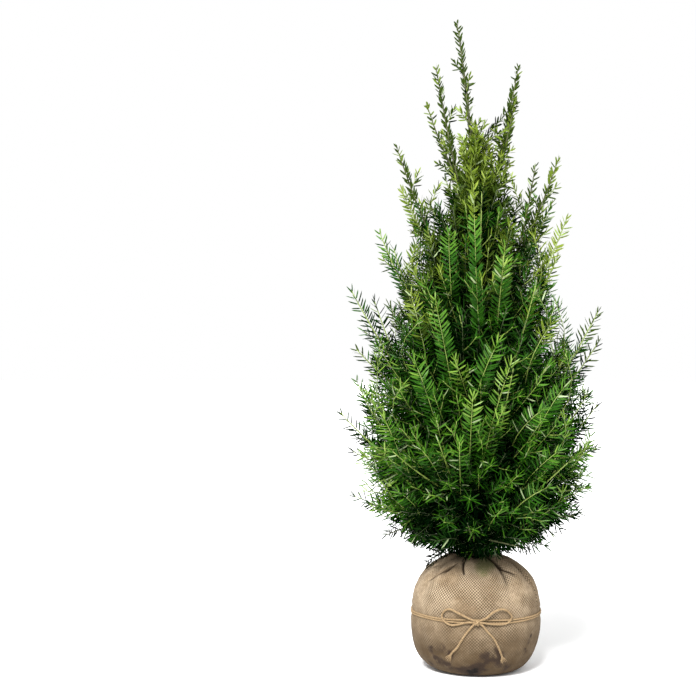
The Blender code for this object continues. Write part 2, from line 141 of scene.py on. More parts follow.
# Shifts of tone, on the tails of leading and of other axes, round a limb, on the trunk and on sprigs; those
# round a limb and on the trunk are painted shade
LEADING_TONE = -0.03
TAIL_TONE = -0.10
LIMB_TONE = -0.28
TRUNK_TONE = -0.25
SPRIG_TONE = 0.03
# The dense part of the crown: height and radius
CROWN_OUTLINE = np.array([
    (0.243, 0.066), (0.262, 0.112), (0.29, 0.150), (0.34, 0.190), (0.44, 0.216), (0.52, 0.218),
    (0.60, 0.200), (0.67, 0.180), (0.75, 0.156), (0.83, 0.132), (0.91, 0.100), (0.99, 0.068), (1.06, 0.040),
    (1.10, 0.024),
])
# Shoots that fill it, layer by layer: share of the outline, spacing round it and up it, shoot length and
# shift of tone, which is painted shade on the inner layers and painted light on the outer ones
FILL_LAYERS = (
    (0.42, 0.052, 0.047, 0.100, -0.34),
    (0.72, 0.042, 0.046, 0.120, -0.20),
    (1.0, 0.042, 0.072, 0.165, 0.06),
    (1.03, 0.098, 0.120, 0.215, 0.14),
)
FILL_REACH = 0.25  # the longest of them
LOWEST_FILL = 0.244
# How steeply they point up, in radians, by height
FILL_RISE = np.array([(0.24, -0.12), (0.30, 0.05), (0.40, 0.40), (0.60, 0.80), (0.85, 1.08), (1.13, 1.22)])
# The most striking shoots at the front: X and height where each comes out of the crown, and of its tip
SHOWN_SHOOTS = (
    (0.002, 0.640, -0.004, 0.985),
    (0.010, 0.400, 0.070, 0.630),
    (-0.045, 0.545, -0.078, 0.745),
    (-0.072, 0.480, -0.120, 0.635),
    (-0.010, 0.530, 0.045, 0.665),
    (-0.029, 0.360, -0.030, 0.474),
    (-0.060, 0.395, -0.104, 0.460),
    (0.062, 0.340, 0.140, 0.385),
    (0.070, 0.480, 0.130, 0.536),
    (0.090, 0.600, 0.150, 0.700),
    (0.045, 0.700, 0.058, 0.850),
    (-0.050, 0.740, -0.052, 0.880),
    (-0.100, 0.330, -0.150, 0.372),
    (0.020, 0.300, 0.050, 0.345),
    (-0.100, 0.640, -0.128, 0.760),
    (0.095, 0.395, 0.160, 0.455),
    (0.040, 0.300, 0.095, 0.272),
    (-0.030, 0.300, -0.080, 0.268),
    (0.005, 0.290, 0.020, 0.258),
    (-0.010, 0.430, -0.005, 0.560),
    (0.110, 0.480, 0.175, 0.580),
    (-0.140, 0.420, -0.180, 0.520),
)
# Low shoots that point straight out, with needles all round: X and height of the tip
SHOWN_ENDS = (
    (-0.012, 0.368), (-0.088, 0.372), (-0.055, 0.395), (0.053, 0.362), (-0.004, 0.306), (-0.018, 0.540),
    (0.105, 0.330), (-0.135, 0.440), (0.030, 0.430), (0.125, 0.455), (-0.060, 0.320), (0.085, 0.560),
)
END_LENGTH = 0.085
END_OUT = 1.24  # how far out they stand, against the dense part
END_REACH = 0.232  # and at most
# The ends, and less so the stretches that join them, are lighter: in part painted light on the foremost
# shoots
END_TONE = 0.30
END_STEM_TONE = 0.10  # of the stretch that joins them to the wood
END_ROUND = 0.85
END_STEM_ROUND = 0.1
SHOWN_TURNS = (0.0, 97.0, 184.0, 268.0)  # degrees from the front: the same shoots on all four sides
SHOWN_OUT = 1.07
# The shown shoots are lighter than the rest, in part painted light on the foremost shoots
SHOWN_TONE = 0.16
SHOWN_BEND = 0.25  # how far up from where it comes out a shoot bends
SHOWN_ROOT = 0.35  # how far out, and how much lower, the wood is looked for that they grow from
SHOWN_DROP = 0.04

# Needles
NEEDLE_LENGTH = 0.0260
NEEDLE_HALF_WIDTH = 0.00132
NEEDLE_PITCH = 0.0031  # along the shoot
FEWEST_NEEDLES = 6
TUFT_NEEDLES = 12  # the last of a shoot, spread all round its tip
LOOSE_TWIST = 0.9  # sideways turn of the blades of those all round, against forwards
NEEDLE_STATIONS = np.array([0.0, 0.22, 0.76, 1.0])
NEEDLE_WIDTHS = np.array([0.0, 1.0, 0.88, 0.0])
TOP_NEEDLES = 0.68  # how long those at the top are, against the rest, and the heights where they shorten
TOP_HEIGHTS = (0.78, 1.12)
TOP_WIDER = 0.60  # how much wider they are for it
NEEDLE_FORWARD = 0.22  # how far a needle's end curves forwards and droops, against its length
NEEDLE_DROOP = 0.06
# Degrees from the shoot, and how much less near its tip, among those all round and where needles are short
SPLAY = 75
SPLAY_TIP = 28
SPLAY_ROUND = 14
SPLAY_SHORT = 16
TUFT_SPLAY = 70
TUFT_CLOSING = 46  # how much less at the tuft's very end
# Degrees above the spray's plane, and by how much every other pair stands higher or lower
RAISED = 12
RAISED_STEP = 28

# Needle colours and how much each shines, from the shaded inside to the newest tips. They are partly the
# needles' own greens and partly painted light and shade: shade and deep are painted shade inside the crown,
# the sun_ greens are painted sunlight high in it, and pale is partly painted highlights
GREENS = {
    "shade": ((0.001, 0.006, 0.001), 0.0),
    "deep": ((0.005, 0.022, 0.002), 0.02),
    "leaf": ((0.013, 0.060, 0.002), 0.08),
    "fresh": ((0.042, 0.122, 0.005), 0.18),
    "young": ((0.112, 0.205, 0.018), 0.30),
    "tip": ((0.200, 0.290, 0.050), 0.35),
    "sun_deep": ((0.026, 0.048, 0.004), 0.04),
    "sun_leaf": ((0.086, 0.132, 0.009), 0.12),
    "sun_young": ((0.150, 0.205, 0.020), 0.25),
    "pale": ((0.200, 0.260, 0.120), 0.4),
}
GREEN_NAMES = list(GREENS)
SHADES = 6  # the first greens, which go by tone, and below the ones that take their places high in the crown
SUNNY_NAMES = ("shade", "sun_deep", "sun_deep", "sun_leaf", "sun_young", "tip")
SUNNY = np.array([GREEN_NAMES.index(name) for name in SUNNY_NAMES])
SUNNY_HEIGHTS = (0.60, 1.02)  # none takes its place below the first, and all above the second
STEM_TONE = 0.24  # shoots lighter than this have a bright stem
NEEDLE_TIP_LIGHT = (0.28, 0.56, 0.94)  # what a shoot's end adds to the light of its needles, in lit shoots: new growth and painted light
NEEDLE_FOOT_SHADE = (0.13, 0.40, 0.0)  # what its foot takes away, and chance
NEEDLE_CHANCE = 0.045
PALE_SHARE = 0.030  # of the lit needles, which show pale undersides and partly stand for painted highlights
PALE_LIGHT = 0.28  # how light a needle has to be for it


def unit(vectors):
    """Each vector of an array at length one."""
    return vectors / np.maximum(np.linalg.norm(vectors, axis=-1, keepdims=True), 1e-12)


def square_to(above, heading):
    """The directions nearest to these that are square to the headings."""
    return unit(above - heading * np.sum(above * heading, -1, keepdims=True))


def smooth_step(x):
    """Eases from 0 to 1 as x goes from 0 to 1."""
    x = np.clip(x, 0.0, 1.0)
    return x * x * (3.0 - 2.0 * x)


def ease(value, start, end):
    """Eases from 0 to 1 as the value goes from start to end, which may be the lower of the two."""
    return smooth_step((value - start) / (end - start))


def rising(value, size, start, end):
    """Eases from 0 to this size as the value goes from start to end."""
    return size * ease(value, start, end)


def run_length(path):
    """The way gone along a path at each of its points."""
    return np.concatenate([[0.0], np.cumsum(np.linalg.norm(np.diff(path, axis=0), axis=1))])


def between(want, known, rows):
    """Rows for the wanted values, on straight lines between the rows for the known ones."""
    return np.stack([np.interp(want, known, column) for column in rows.T], -1)


def running_average(rows, width):
    """Rows averaged over their neighbours, this many at a time, with a raised cosine for weights."""
    weights = np.hanning(width + 2)[1:-1]
    weights /= weights.sum()
    return np.stack([np.convolve(column, weights, mode="valid") for column in rows.T], -1)


def value_noise(points, size, seed):
    """Smooth noise from -1 to 1: a random value at each corner of a lattice, eased between the corners."""
    scaled = np.asarray(points, float) / size + 0.37 * seed
    cell = np.floor(scaled).astype(np.int64)
    eased = smooth_step(scaled - cell)
    total = np.zeros(scaled.shape[:-1])
    for corner in range(8):
        step = np.array([corner & 1, corner >> 1 & 1, corner >> 2 & 1])
        at = cell + step
        mixed = at[..., 0] * 73856093 ^ at[..., 1] * 19349663 ^ at[..., 2] * 83492791 ^ seed * 40503
        mixed = (mixed ^ mixed >> 13) * 1274126177
        value = (mixed ^ mixed >> 16 & 0xFFFF) % 65536 / 32767.5 - 1.0
        total += value * np.prod(np.where(step, eased, 1.0 - eased), axis=-1)
    return total


def bumps(points, size, seed, depth):
    """Smooth noise up to this depth either way."""
    return value_noise(points, size, seed) * depth


def add_mesh(name, points, face_sets, finish, uv=None, marks=None):
    """A smooth mesh from one array of points and arrays of faces with 3 or 4 corners each.

    uv is a pair for each point, and marks maps an attribute's name to a value for each point.
    """
    points = np.asarray(points, float).reshape(-1, 3)
    face_sets = [np.asarray(faces, np.int64) for faces in face_sets if len(faces)]
    corners = np.concatenate([faces.ravel() for faces in face_sets])
    counts = np.concatenate([np.full(len(faces), faces.shape[1]) for faces in face_sets])
    starts = np.concatenate([[0], np.cumsum(counts)[:-1]])
    mesh = bpy.data.meshes.new(name)
    mesh.vertices.add(len(points))
    mesh.vertices.foreach_set("co", points.astype(np.float32).ravel())
    mesh.loops.add(len(corners))
    mesh.loops.foreach_set("vertex_index", corners.astype(np.int32))
    mesh.polygons.add(len(starts))
    mesh.polygons.foreach_set("loop_start", starts.astype(np.int32))
    mesh.update(calc_edges=True)
    if uv is not None:
        layer = mesh.uv_layers.new(name="cloth")
        layer.data.foreach_set("uv", np.asarray(uv, np.float32)[corners].ravel())
    for mark, values in (marks or {}).items():
        attribute = mesh.attributes.new(mark, "FLOAT", "POINT")
        attribute.data.foreach_set("value", np.asarray(values, np.float32).ravel())
    mesh.shade_smooth()
    mesh.materials.append(finish)
    made = bpy.data.objects.new(name, mesh)
    bpy.context.scene.collection.objects.link(made)
    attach(made, BODY)
    return made


def node_surface(name):
    """A frame node's points and triangles, with the points that coincide made one."""
    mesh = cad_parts[name].data
    points = np.empty(len(mesh.vertices) * 3)
    mesh.vertices.foreach_get("co", points)
    points = points.reshape(-1, 3)
    mesh.calc_loop_triangles()
    corners = np.empty(len(mesh.loop_triangles) * 3, np.int64)
    mesh.loop_triangles.foreach_get("vertices", corners)
    _, first, same = np.unique(np.round(points, 5), axis=0, return_index=True, return_inverse=True)
    return points[first], same.ravel()[corners].reshape(-1, 3)


def bezier(start, bend, end, share):
    """Points at these shares of quadratic curves: the weights are the squares of what is left and gone."""
    share = np.asarray(share)[..., None]
    return start * (1 - share) ** 2 + bend * 2 * share * (1 - share) + end * share**2


def bezier_heading(start, bend, end, share):
    """Unit directions of quadratic curves at these shares."""
    share = np.asarray(share)[..., None]
    return unit((bend - start) * (1 - share) + (end - bend) * share)


def ring_faces(rows, columns):
    """Four-cornered faces between the closed rings of a tube, ring by ring."""
    base = np.arange(rows - 1)[:, None] * columns
    side = np.arange(columns)
    after = (side + 1) % columns
    quads = np.stack([base + side, base + after, base + columns + after, base + columns + side], -1)
    return quads.reshape(-1, 4)


INWARD_ORDER = [0, 3, 2, 1]  # of the corners of such a face, to turn it over


def fan_faces(pole, first, columns):
    """Three-cornered faces from one point to a closed ring of points that starts at another."""
    side = np.arange(columns)
    return np.stack([np.full(columns, pole), first + side, first + (side + 1) % columns], -1)


def tube_grid(paths, radii, sides):
    """Points and faces of round tubes: a circle carried along each path, and a point to close each end.

    paths is tube by station by 3, and radii is tube by station.
    """
    paths = np.asarray(paths, float)
    tubes, stations = paths.shape[:2]
    ahead = unit(np.gradient(paths, axis=1))
    aside = np.where(np.abs(ahead[:, :1, 2:3]) > 0.9, np.array([1.0, 0.0, 0.0]), UP)
    across = unit(np.cross(ahead, aside))
    above = np.cross(across, ahead)
    turn = np.arange(sides) * 2 * math.pi / sides
    ring = across[:, :, None] * np.cos(turn)[:, None] + above[:, :, None] * np.sin(turn)[:, None]
    skin = paths[:, :, None] + ring * np.asarray(radii)[:, :, None, None]
    points = np.concatenate([skin.reshape(tubes, -1, 3), paths[:, :1], paths[:, -1:]], axis=1)
    count = stations * sides
    caps = np.concatenate([fan_faces(count, 0, sides)[:, ::-1], fan_faces(count + 1, count - sides, sides)])
    each = np.arange(tubes)[:, None, None] * points.shape[1]
    return (
        points.reshape(-1, 3),
        (ring_faces(stations, sides)[None] + each).reshape(-1, 4),
        (caps[None] + each).reshape(-1, 3),
    )


def principled(name, colour, roughness):
    """A new material with its Principled shader, at one colour and roughness."""
    finish = bpy.data.materials.new(name)
    finish.use_nodes = True
    shader = finish.node_tree.nodes["Principled BSDF"]
    shader.inputs["Base Color"].default_value = (*colour, 1.0)
    shader.inputs["Roughness"].default_value = roughness
    return finish, shader


class Wires:
    """Adds nodes to a material's tree and links them in one call each."""

    def __init__(self, finish):
        self.tree = finish.node_tree
        self.shader = self.tree.nodes["Principled BSDF"]
        self.place = self.add("ShaderNodeTexCoord").outputs["Object"]

    def add(self, kind, settings=None, **inputs):
        """A node of this kind: settings are its own options, inputs are values or other nodes' outputs."""
        node = self.tree.nodes.new(kind)
        for option, value in (settings or {}).items():
            setattr(node, option, value)
        for socket, value in inputs.items():
            number = socket.removeprefix("i")
            place = node.inputs[int(number) if number.isdigit() else socket]
            if isinstance(value, bpy.types.NodeSocket):
                self.tree.links.new(value, place)
            else:
                place.default_value = value
        return node

    def sum(self, operation, one, other=0.0):
        """One step of arithmetic."""
        return self.add("ShaderNodeMath", {"operation": operation}, i0=one, i1=other).outputs[0]

    def times(self, one, other):
        """A product."""
        return self.sum("MULTIPLY", one, other)

    def mix(self, share, *colours):
        """A blend of two colours."""
        one, other = ((*colour, 1.0) if isinstance(colour, tuple) else colour for colour in colours)
        return self.add("ShaderNodeMix", {"data_type": "RGBA"}, i0=share, i6=one, i7=other).outputs[2]

    def fade(self, value, low, high):
        """0 at low, 1 at high, and smooth between."""
        settings = {"interpolation_type": "SMOOTHSTEP"}
        return self.add("ShaderNodeMapRange", settings, i0=value, i1=low, i2=high, i3=0.0, i4=1.0).outputs[0]

    def noise(self, scale, detail=3.0, roughness=0.55, place=None):
        """Cloudy noise about one half, on the Object coordinates unless a place is given."""
        place = self.place if place is None else place
        node = self.add("ShaderNodeTexNoise", Vector=place, Scale=scale, Detail=detail, Roughness=roughness)
        return node.outputs[0]

    def link(self, colour, height=None, strength=0.7, depth=0.001):
        """Gives the shader its colour, and a relief of this strength and depth from a height."""
        self.tree.links.new(colour, self.shader.inputs["Base Color"])
        if height is not None:
            bump = self.add("ShaderNodeBump", Strength=strength, Distance=depth, Height=height)
            self.tree.links.new(bump.outputs[0], self.shader.inputs["Normal"])


def needle_finishes():
    """One plain, slightly waxy green for each tone of needle, partly its age and partly painted light and
    shade.
    """
    finishes = {}
    for name, (colour, sheen) in GREENS.items():
        finishes[name], shader = principled("needle_" + name, colour, 0.45)
        shader.inputs["Specular IOR Level"].default_value = sheen
    return finishes


def bark_finish(name, light, dark):
    """Thin brown bark: long flakes from stretched noise, darker in the cracks, and rubbed in patches."""
    finish, _ = principled(name, light, 0.85)
    wires = Wires(finish)
    long_grain = wires.add("ShaderNodeMapping", Vector=wires.place, Scale=(260.0, 260.0, 40.0)).outputs[0]
    flakes = wires.noise(1.0, 5.0, 0.6, long_grain)
    tint = wires.mix(wires.fade(wires.times(flakes, 0.7), 0.18, 0.52), dark, light)
    rubbed = (light[0] * 1.5, light[1] * 1.3, light[2] * 1.1)
    worn = wires.mix(wires.fade(wires.noise(45.0), 0.52, 0.70), tint, rubbed)
    wires.link(worn, flakes, 0.7, 0.0012)
    return finish


# Burlap
BURLAP_COLUMNS = 460
BURLAP_ROWS = 190
OUTLINE_FINENESS = 4  # points of the outline that are worked out for each row
OUTLINE_ROUNDING = 29  # points that its running average takes in
CLOTH_RADIUS = 0.128  # for the weave, where the cloth is unrolled
WEAVE_PITCH = 0.0044
PLEAT_COUNT = 13
PLEAT_DEPTH = 0.0105
PLEAT_FOOT = (0.180, 0.026)  # the height where pleats begin, and how much lower it may lie
PLEAT_RISE = 0.046
SHOULDER_DEPTH = 0.0042  # of the bulge at the right shoulder
SHOULDER_PLACE = (-0.25, 0.185)  # azimuth and height
SHOULDER_SIZE = (0.7, 0.035)
# Unevenness: size of the noise, its seed and its depth, for the pleats' way and depth, for broad sags, small
# lumps, the rim's ruffles and the grit of the threads, and last for the clouds of dirt
PLEAT_WANDER = (0.55, 3, 0.16)
PLEAT_UNEVEN = (0.40, 8, 0.55)
SAGS = (0.75, 5, 0.0034)
LUMPS = (0.26, 6, 0.0015)
RUFFLES = (0.16, 9, 0.003)
GRIT = (0.0035, 11, 0.00022)
DIRT_CLOUDS = (0.012, 21, 0.48)
DIRT_SPECKS = (0.005, 22, 0.40)
CREASE_DARK = 0.0066  # the depth at which a crease is full of shade, and the same for a pleat
PLEAT_DARK = 0.0085
# Creases: two ends as azimuth in degrees and height, then depth and half width
CREASES = (
    ((-123.3, 0.214), (-134.0, 0.201), 0.0072, 0.00221),
    ((-134.0, 0.201), (-148.0, 0.184), 0.0045, 0.00204),
    ((-120.5, 0.219), (-131.0, 0.196), 0.0036, 0.0017),
    ((-150.0, 0.212), (-168.0, 0.196), 0.0039, 0.00204),
    ((-111.6, 0.224), (-104.0, 0.204), 0.0078, 0.00187),
    ((-57.0, 0.227), (-53.3, 0.212), 0.00825, 0.00255),
    ((-53.3, 0.212), (-43.0, 0.196), 0.006, 0.00204),
    ((-40.0, 0.222), (-26.0, 0.202), 0.0042, 0.00187),
    ((-88.0, 0.186), (-74.0, 0.140), 0.00165, 0.00255),
    ((-23.0, 0.192), (-19.0, 0.150), 0.0039, 0.00255),
    ((-19.0, 0.150), (-18.0, 0.128), 0.0027, 0.00204),
    ((18.0, 0.222), (32.0, 0.188), 0.0069, 0.00238),
    ((70.0, 0.220), (62.0, 0.178), 0.006, 0.00255),
    ((104.0, 0.224), (116.0, 0.196), 0.0075, 0.00221),
    ((150.0, 0.220), (163.0, 0.186), 0.0066, 0.00255),
)
# Soiled places: azimuth, height, half size and strength
DIRT_SPOTS = (
    (-133.0, 0.055, 0.009, 0.90),
    (-122.0, 0.062, 0.010, 0.95),
    (-112.0, 0.050, 0.010, 0.85),
    (-129.0, 0.034, 0.012, 0.95),
    (-119.0, 0.024, 0.014, 0.80),
    (-94.0, 0.014, 0.012, 2.90),
    (-105.0, 0.016, 0.012, 0.80),
    (-82.0, 0.018, 0.010, 0.60),
    (-143.0, 0.018, 0.012, 0.80),
    (-56.0, 0.018, 0.012, 0.70),
    (-86.0, 0.030, 0.012, 0.80),
    (-80.0, 0.048, 0.014, 0.95),
    (-70.0, 0.056, 0.012, 0.90),
    (-66.0, 0.036, 0.015, 0.90),
    (-33.5, 0.080, 0.005, 1.00),
    (-35.5, 0.068, 0.006, 1.05),
    (-39.0, 0.056, 0.005, 0.90),
    (-36.0, 0.048, 0.005, 0.80),
    (24.0, 0.050, 0.024, 0.80),
    (85.0, 0.034, 0.028, 0.90),
    (140.0, 0.060, 0.022, 0.70),
    (178.0, 0.030, 0.022, 0.80),
)
# Places where the weave shows free of dust, in the same terms
BARE_SPOTS = (
    (-95.0, 0.168, 0.026, 0.9), (-76.0, 0.150, 0.026, 1.0), (-92.0, 0.060, 0.026, 1.0),
    (-84.0, 0.034, 0.016, 0.8), (-58.0, 0.086, 0.016, 0.7), (30.0, 0.150, 0.040, 0.8),
    (110.0, 0.090, 0.045, 0.8), (170.0, 0.140, 0.035, 0.8),
)
MOSS_SPOTS = ((-80.0, 0.214, 0.020, 1.0), (-64.0, 0.221, 0.012, 0.7), (60.0, 0.216, 0.016, 0.6))
BURLAP_COLOURS = {
    "plain": (0.48, 0.36, 0.24),
    "brown": (0.185, 0.128, 0.073),
    "straw": (0.375, 0.290, 0.195),
    "dust": (0.32, 0.25, 0.17),
    "gap": (0.032, 0.021, 0.011),
    "speck": (0.080, 0.052, 0.028),
    "blot": (0.095, 0.060, 0.032),
    # darker towards the bottom of the ball, in patches
    "darker_low": (0.062, 0.040, 0.020),
    # painted shade in the creases and pleat valleys
    "fold_shade": (0.030, 0.019, 0.010),
    "dirt": (0.026, 0.016, 0.011),
    "wet": (0.006, 0.004, 0.003),
    "moss": (0.075, 0.088, 0.026),
}


def ball_outline():
    """The wrapped ball's outline, from the soil over the gathered rim and down to the middle of the foot.

    It follows the frame's ball, and its corners are rounded by a running average. With it comes the way
    gone along the cloth.
    """
    points, _ = node_surface("root_ball")
    radius = np.hypot(points[:, 0], points[:, 1])
    rim = np.argmax(points[:, 2])
    outer = (radius > radius[rim] * 0.98) & (points[:, 2] > 0.0)
    heights = np.unique(np.round(points[outer, 2], 5))[::-1]
    rings = [(radius[np.abs(points[:, 2] - height) < 2e-5].max(), height) for height in heights]
    foot = radius[points[:, 2] < 1e-5].max()
    soil = points[radius < radius[rim] * 0.9, 2].max()
    lip = rings[0][0]
    inner = [(0.0, soil), (lip * 0.35, soil), (lip * 0.62, soil + 0.001), (lip * 0.84, soil + 0.009)]
    path = np.array(inner + rings + [(foot, 0.0), (foot * 0.5, 0.0), (0.0, 0.0)])
    gone = run_length(path)
    fine = np.linspace(0.0, gone[-1], BURLAP_ROWS * OUTLINE_FINENESS)
    padded = np.pad(between(fine, gone, path), ((OUTLINE_ROUNDING // 2,) * 2, (0, 0)), mode="edge")
    smooth = running_average(padded, OUTLINE_ROUNDING)
    smooth[0] = (0.0, soil)
    smooth[-1] = (0.0, 0.0)
    smooth[:, 1] = np.maximum(smooth[:, 1], 0.0)
    keep = np.linspace(0, len(smooth) - 1, BURLAP_ROWS).round().astype(int)
    return smooth[keep], fine[keep]


def azimuth_from(azimuth, start):
    """Degrees round the ball from one azimuth, given in degrees, to others, the shorter way."""
    return (np.degrees(azimuth) - start + 180) % 360 - 180


def near_spots(spots, azimuth, height, radius):
    """How near each point is to the spots: a sum of bells on the unrolled cloth."""
    total = np.zeros_like(height)
    for spot_azimuth, spot_height, size, strength in spots:
        away = np.hypot(np.radians(azimuth_from(azimuth, spot_azimuth)) * radius, height - spot_height)
        total += strength * np.exp(-((away / size) ** 2))
    return total


def crease_dents(azimuth, height, radius):
    """The creases' depth: a bell across each straight crease on the unrolled cloth, less at its ends."""
    total = np.zeros_like(height)
    for (start_azimuth, start_height), (end_azimuth, end_height), depth, width in CREASES:
        around = np.radians(azimuth_from(azimuth, start_azimuth)) * radius
        rise = height - start_height
        span = np.radians(end_azimuth - start_azimuth) * radius, end_height - start_height
        share = np.clip((around * span[0] + rise * span[1]) / (span[0] ** 2 + span[1] ** 2), 0.0, 1.0)
        away = np.hypot(around - share * span[0], rise - share * span[1])
        along = 0.35 + 0.65 * np.sin(math.pi * (0.15 + 0.7 * share))
        total += depth * np.exp(-((away / width) ** 2)) * along
    return total


def pole_grid(grid):
    """The points of a grid in one list, with its first and last rows each drawn together to one point."""
    return np.concatenate([grid[0, :1], grid[1:-1].reshape(-1, *grid.shape[2:]), grid[-1, :1]])


def burlap():
    """The burlap: the ball's outline turned round the axis, moved in and out along its normal.

    The move is the sum of pleats that deepen towards the gathered rim, named creases, broad sags and
    small lumps. It fades out under the foot, which stays flat.
    """
    outline, gone = ball_outline()
    slope = unit(np.gradient(outline, axis=0))
    azimuth = np.linspace(-math.pi, math.pi, BURLAP_COLUMNS, endpoint=False)
    turn, radius = np.meshgrid(azimuth, outline[:, 0])
    height = np.meshgrid(azimuth, outline[:, 1])[1]
    ring = np.stack([np.cos(turn), np.sin(turn), height * 6.0], -1)
    inside = np.arange(BURLAP_ROWS)[:, None] < np.argmax(outline[:, 1])

    wander = bumps(ring * [1, 1, 0.25], *PLEAT_WANDER)
    pleat = np.abs(np.sin((turn + wander) * PLEAT_COUNT / 2)) ** 0.7 - 0.62
    uneven = 0.55 + bumps(ring * LEVEL, *PLEAT_UNEVEN)
    reach = smooth_step((height - (PLEAT_FOOT[0] - PLEAT_FOOT[1] * uneven)) / PLEAT_RISE)
    move = PLEAT_DEPTH * pleat * uneven * np.where(inside, 0.8, reach)
    valleys = np.maximum(-move, 0.0) * ~inside
    dents = crease_dents(turn, height, np.maximum(radius, 0.03)) * ~inside
    move -= dents
    body = ease(height, 0.0, 0.035) * ease(radius, 0.0, 0.05)
    move += body * (bumps(ring, *SAGS) + bumps(ring, *LUMPS))
    place = [(turn - SHOULDER_PLACE[0]) / SHOULDER_SIZE[0], (height - SHOULDER_PLACE[1]) / SHOULDER_SIZE[1]]
    move += SHOULDER_DEPTH * np.exp(-(place[0] ** 2) - place[1] ** 2)
    ruffle = bumps(ring * LEVEL, *RUFFLES) * ease(height, 0.218, 0.230)
    move *= ease(height, 0.0, 0.012) * ease(radius, 0.0, 0.02)

    far = radius - move * slope[:, 1:]
    up = np.maximum(height + move * slope[:, :1] + ruffle, 0.0)
    points = np.stack([far * np.cos(turn), far * np.sin(turn), up], -1)
    grit = bumps(points, *GRIT) * body
    points[..., :2] *= 1 + (grit / np.maximum(far, 0.02))[..., None]

    clouds = 0.85 + bumps(points, *DIRT_CLOUDS) + bumps(points, *DIRT_SPECKS)
    marks = {
        "dirt": near_spots(DIRT_SPOTS, turn, height, np.maximum(radius, 0.05)) * clouds,
        "moss": near_spots(MOSS_SPOTS, turn, height, np.maximum(radius, 0.04)),
        # painted shade: the deeper a crease or a pleat's valley, the darker
        "fold_shade": dents / CREASE_DARK + valleys / PLEAT_DARK,
        "bare": near_spots(BARE_SPOTS, turn, height, np.maximum(radius, 0.05)),
    }
    marks = {name: pole_grid(values) for name, values in marks.items()}
    uv = pole_grid(np.stack([turn * CLOTH_RADIUS, np.meshgrid(azimuth, gone)[1]], -1))
    points = pole_grid(points)
    last = len(points) - 1
    faces = [
        ring_faces(BURLAP_ROWS - 2, BURLAP_COLUMNS)[:, INWARD_ORDER] + 1,
        fan_faces(0, 1, BURLAP_COLUMNS),
        fan_faces(last, last - BURLAP_COLUMNS, BURLAP_COLUMNS)[:, ::-1],
    ]
    made = add_mesh("burlap_wrap", points, faces, burlap_finish(), uv, marks)
    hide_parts("root_ball")
    return made


def burlap_finish():
    """Coarse jute cloth on the bias, in threads of uneven colour, with pale dust, dirt and a little moss,
    darker towards the bottom, and with painted shade in its creases and pleat valleys.

    The threads are absolute sines across the two diagonals of the cloth, one over the other in turn.
    """
    finish, shader = principled("burlap_cloth", BURLAP_COLOURS["plain"], 0.95)
    shader.inputs["Specular IOR Level"].default_value = 0.15
    wires = Wires(finish)
    unrolled = wires.add("ShaderNodeUVMap", {"uv_map": "cloth"}).outputs[0]
    axes = wires.add("ShaderNodeSeparateXYZ", Vector=unrolled)
    drift = wires.times(wires.noise(55.0, 2.0), 2.4)
    threads = []
    for sign in ("ADD", "SUBTRACT"):
        diagonal = wires.times(wires.sum(sign, *axes.outputs[:2]), math.pi / WEAVE_PITCH / math.sqrt(2.0))
        threads.append(wires.sum("SINE", wires.sum("ADD", diagonal, drift)))
    warp, weft = (wires.sum("POWER", wires.sum("ABSOLUTE", thread), 0.6) for thread in threads)
    over = wires.fade(wires.times(*threads), -0.25, 0.25)
    weave = wires.add("ShaderNodeMix", {"data_type": "FLOAT"}, i0=over, i2=warp, i3=weft).outputs[0]
    marks = {}
    for name in ("dirt", "moss", "fold_shade", "bare"):
        marks[name] = wires.add("ShaderNodeAttribute", {"attribute_name": name}).outputs["Fac"]
    cleared = wires.sum("ADD", wires.times(marks["bare"], 0.20), wires.noise(22.0, 2.0))
    clear = wires.fade(cleared, 0.43, 0.65)

    fine = wires.noise(420.0)
    broad = wires.fade(wires.noise(17.0, 4.0), 0.32, 0.68)
    tint = wires.mix(broad, BURLAP_COLOURS["brown"], BURLAP_COLOURS["straw"])
    fibres = wires.mix(wires.times(wires.fade(fine, 0.35, 0.65), 0.40), tint, BURLAP_COLOURS["dust"])
    crossing = wires.fade(wires.times(warp, weft), 0.20, 0.70)
    dark_gap = wires.mix(crossing, BURLAP_COLOURS["gap"], fibres)
    specks = wires.fade(wires.noise(150.0, 4.0, 0.65), 0.42, 0.64)
    fibres = wires.mix(wires.times(specks, 0.45), fibres, BURLAP_COLOURS["speck"])
    blots = wires.fade(wires.noise(48.0), 0.44, 0.60)
    fibres = wires.mix(wires.times(blots, 0.40), fibres, BURLAP_COLOURS["blot"])
    cloth = wires.mix(wires.sum("ADD", wires.times(clear, 0.62), 0.42), fibres, dark_gap)

    # Darker towards the bottom of the ball, in cloudy patches
    low = wires.fade(wires.add("ShaderNodeSeparateXYZ", Vector=wires.place).outputs[2], 0.200, 0.020)
    darker_low = wires.times(low, wires.sum("ADD", wires.noise(30.0), 0.46))
    mossed = wires.fade(wires.times(marks["moss"], fine), 0.18, 0.5)
    # Laid over the cloth in turn: where, and in which colour. The fold shade is painted shade in the creases
    # and pleat valleys
    for share, colour in (
        (darker_low, "darker_low"),
        (wires.times(wires.fade(marks["fold_shade"], 0.12, 0.85), 0.92), "fold_shade"),
        (wires.times(wires.fade(marks["dirt"], 0.10, 0.85), 0.93), "dirt"),
        (wires.fade(marks["dirt"], 1.0, 2.4), "wet"),
        (wires.times(mossed, 0.7), "moss"),
    ):
        cloth = wires.mix(share, cloth, BURLAP_COLOURS[colour])
    relief = wires.sum("ADD", wires.times(weave, wires.sum("ADD", clear, 0.5)), wires.times(fine, 0.5))
    wires.link(cloth, relief, 0.8, 0.0011)
    return finish


# Twine
STRAND_STEP = 0.0012
PLY_TWIST = 0.011  # length of one full twist
PLIES = 3
PLY_SIDES = 7
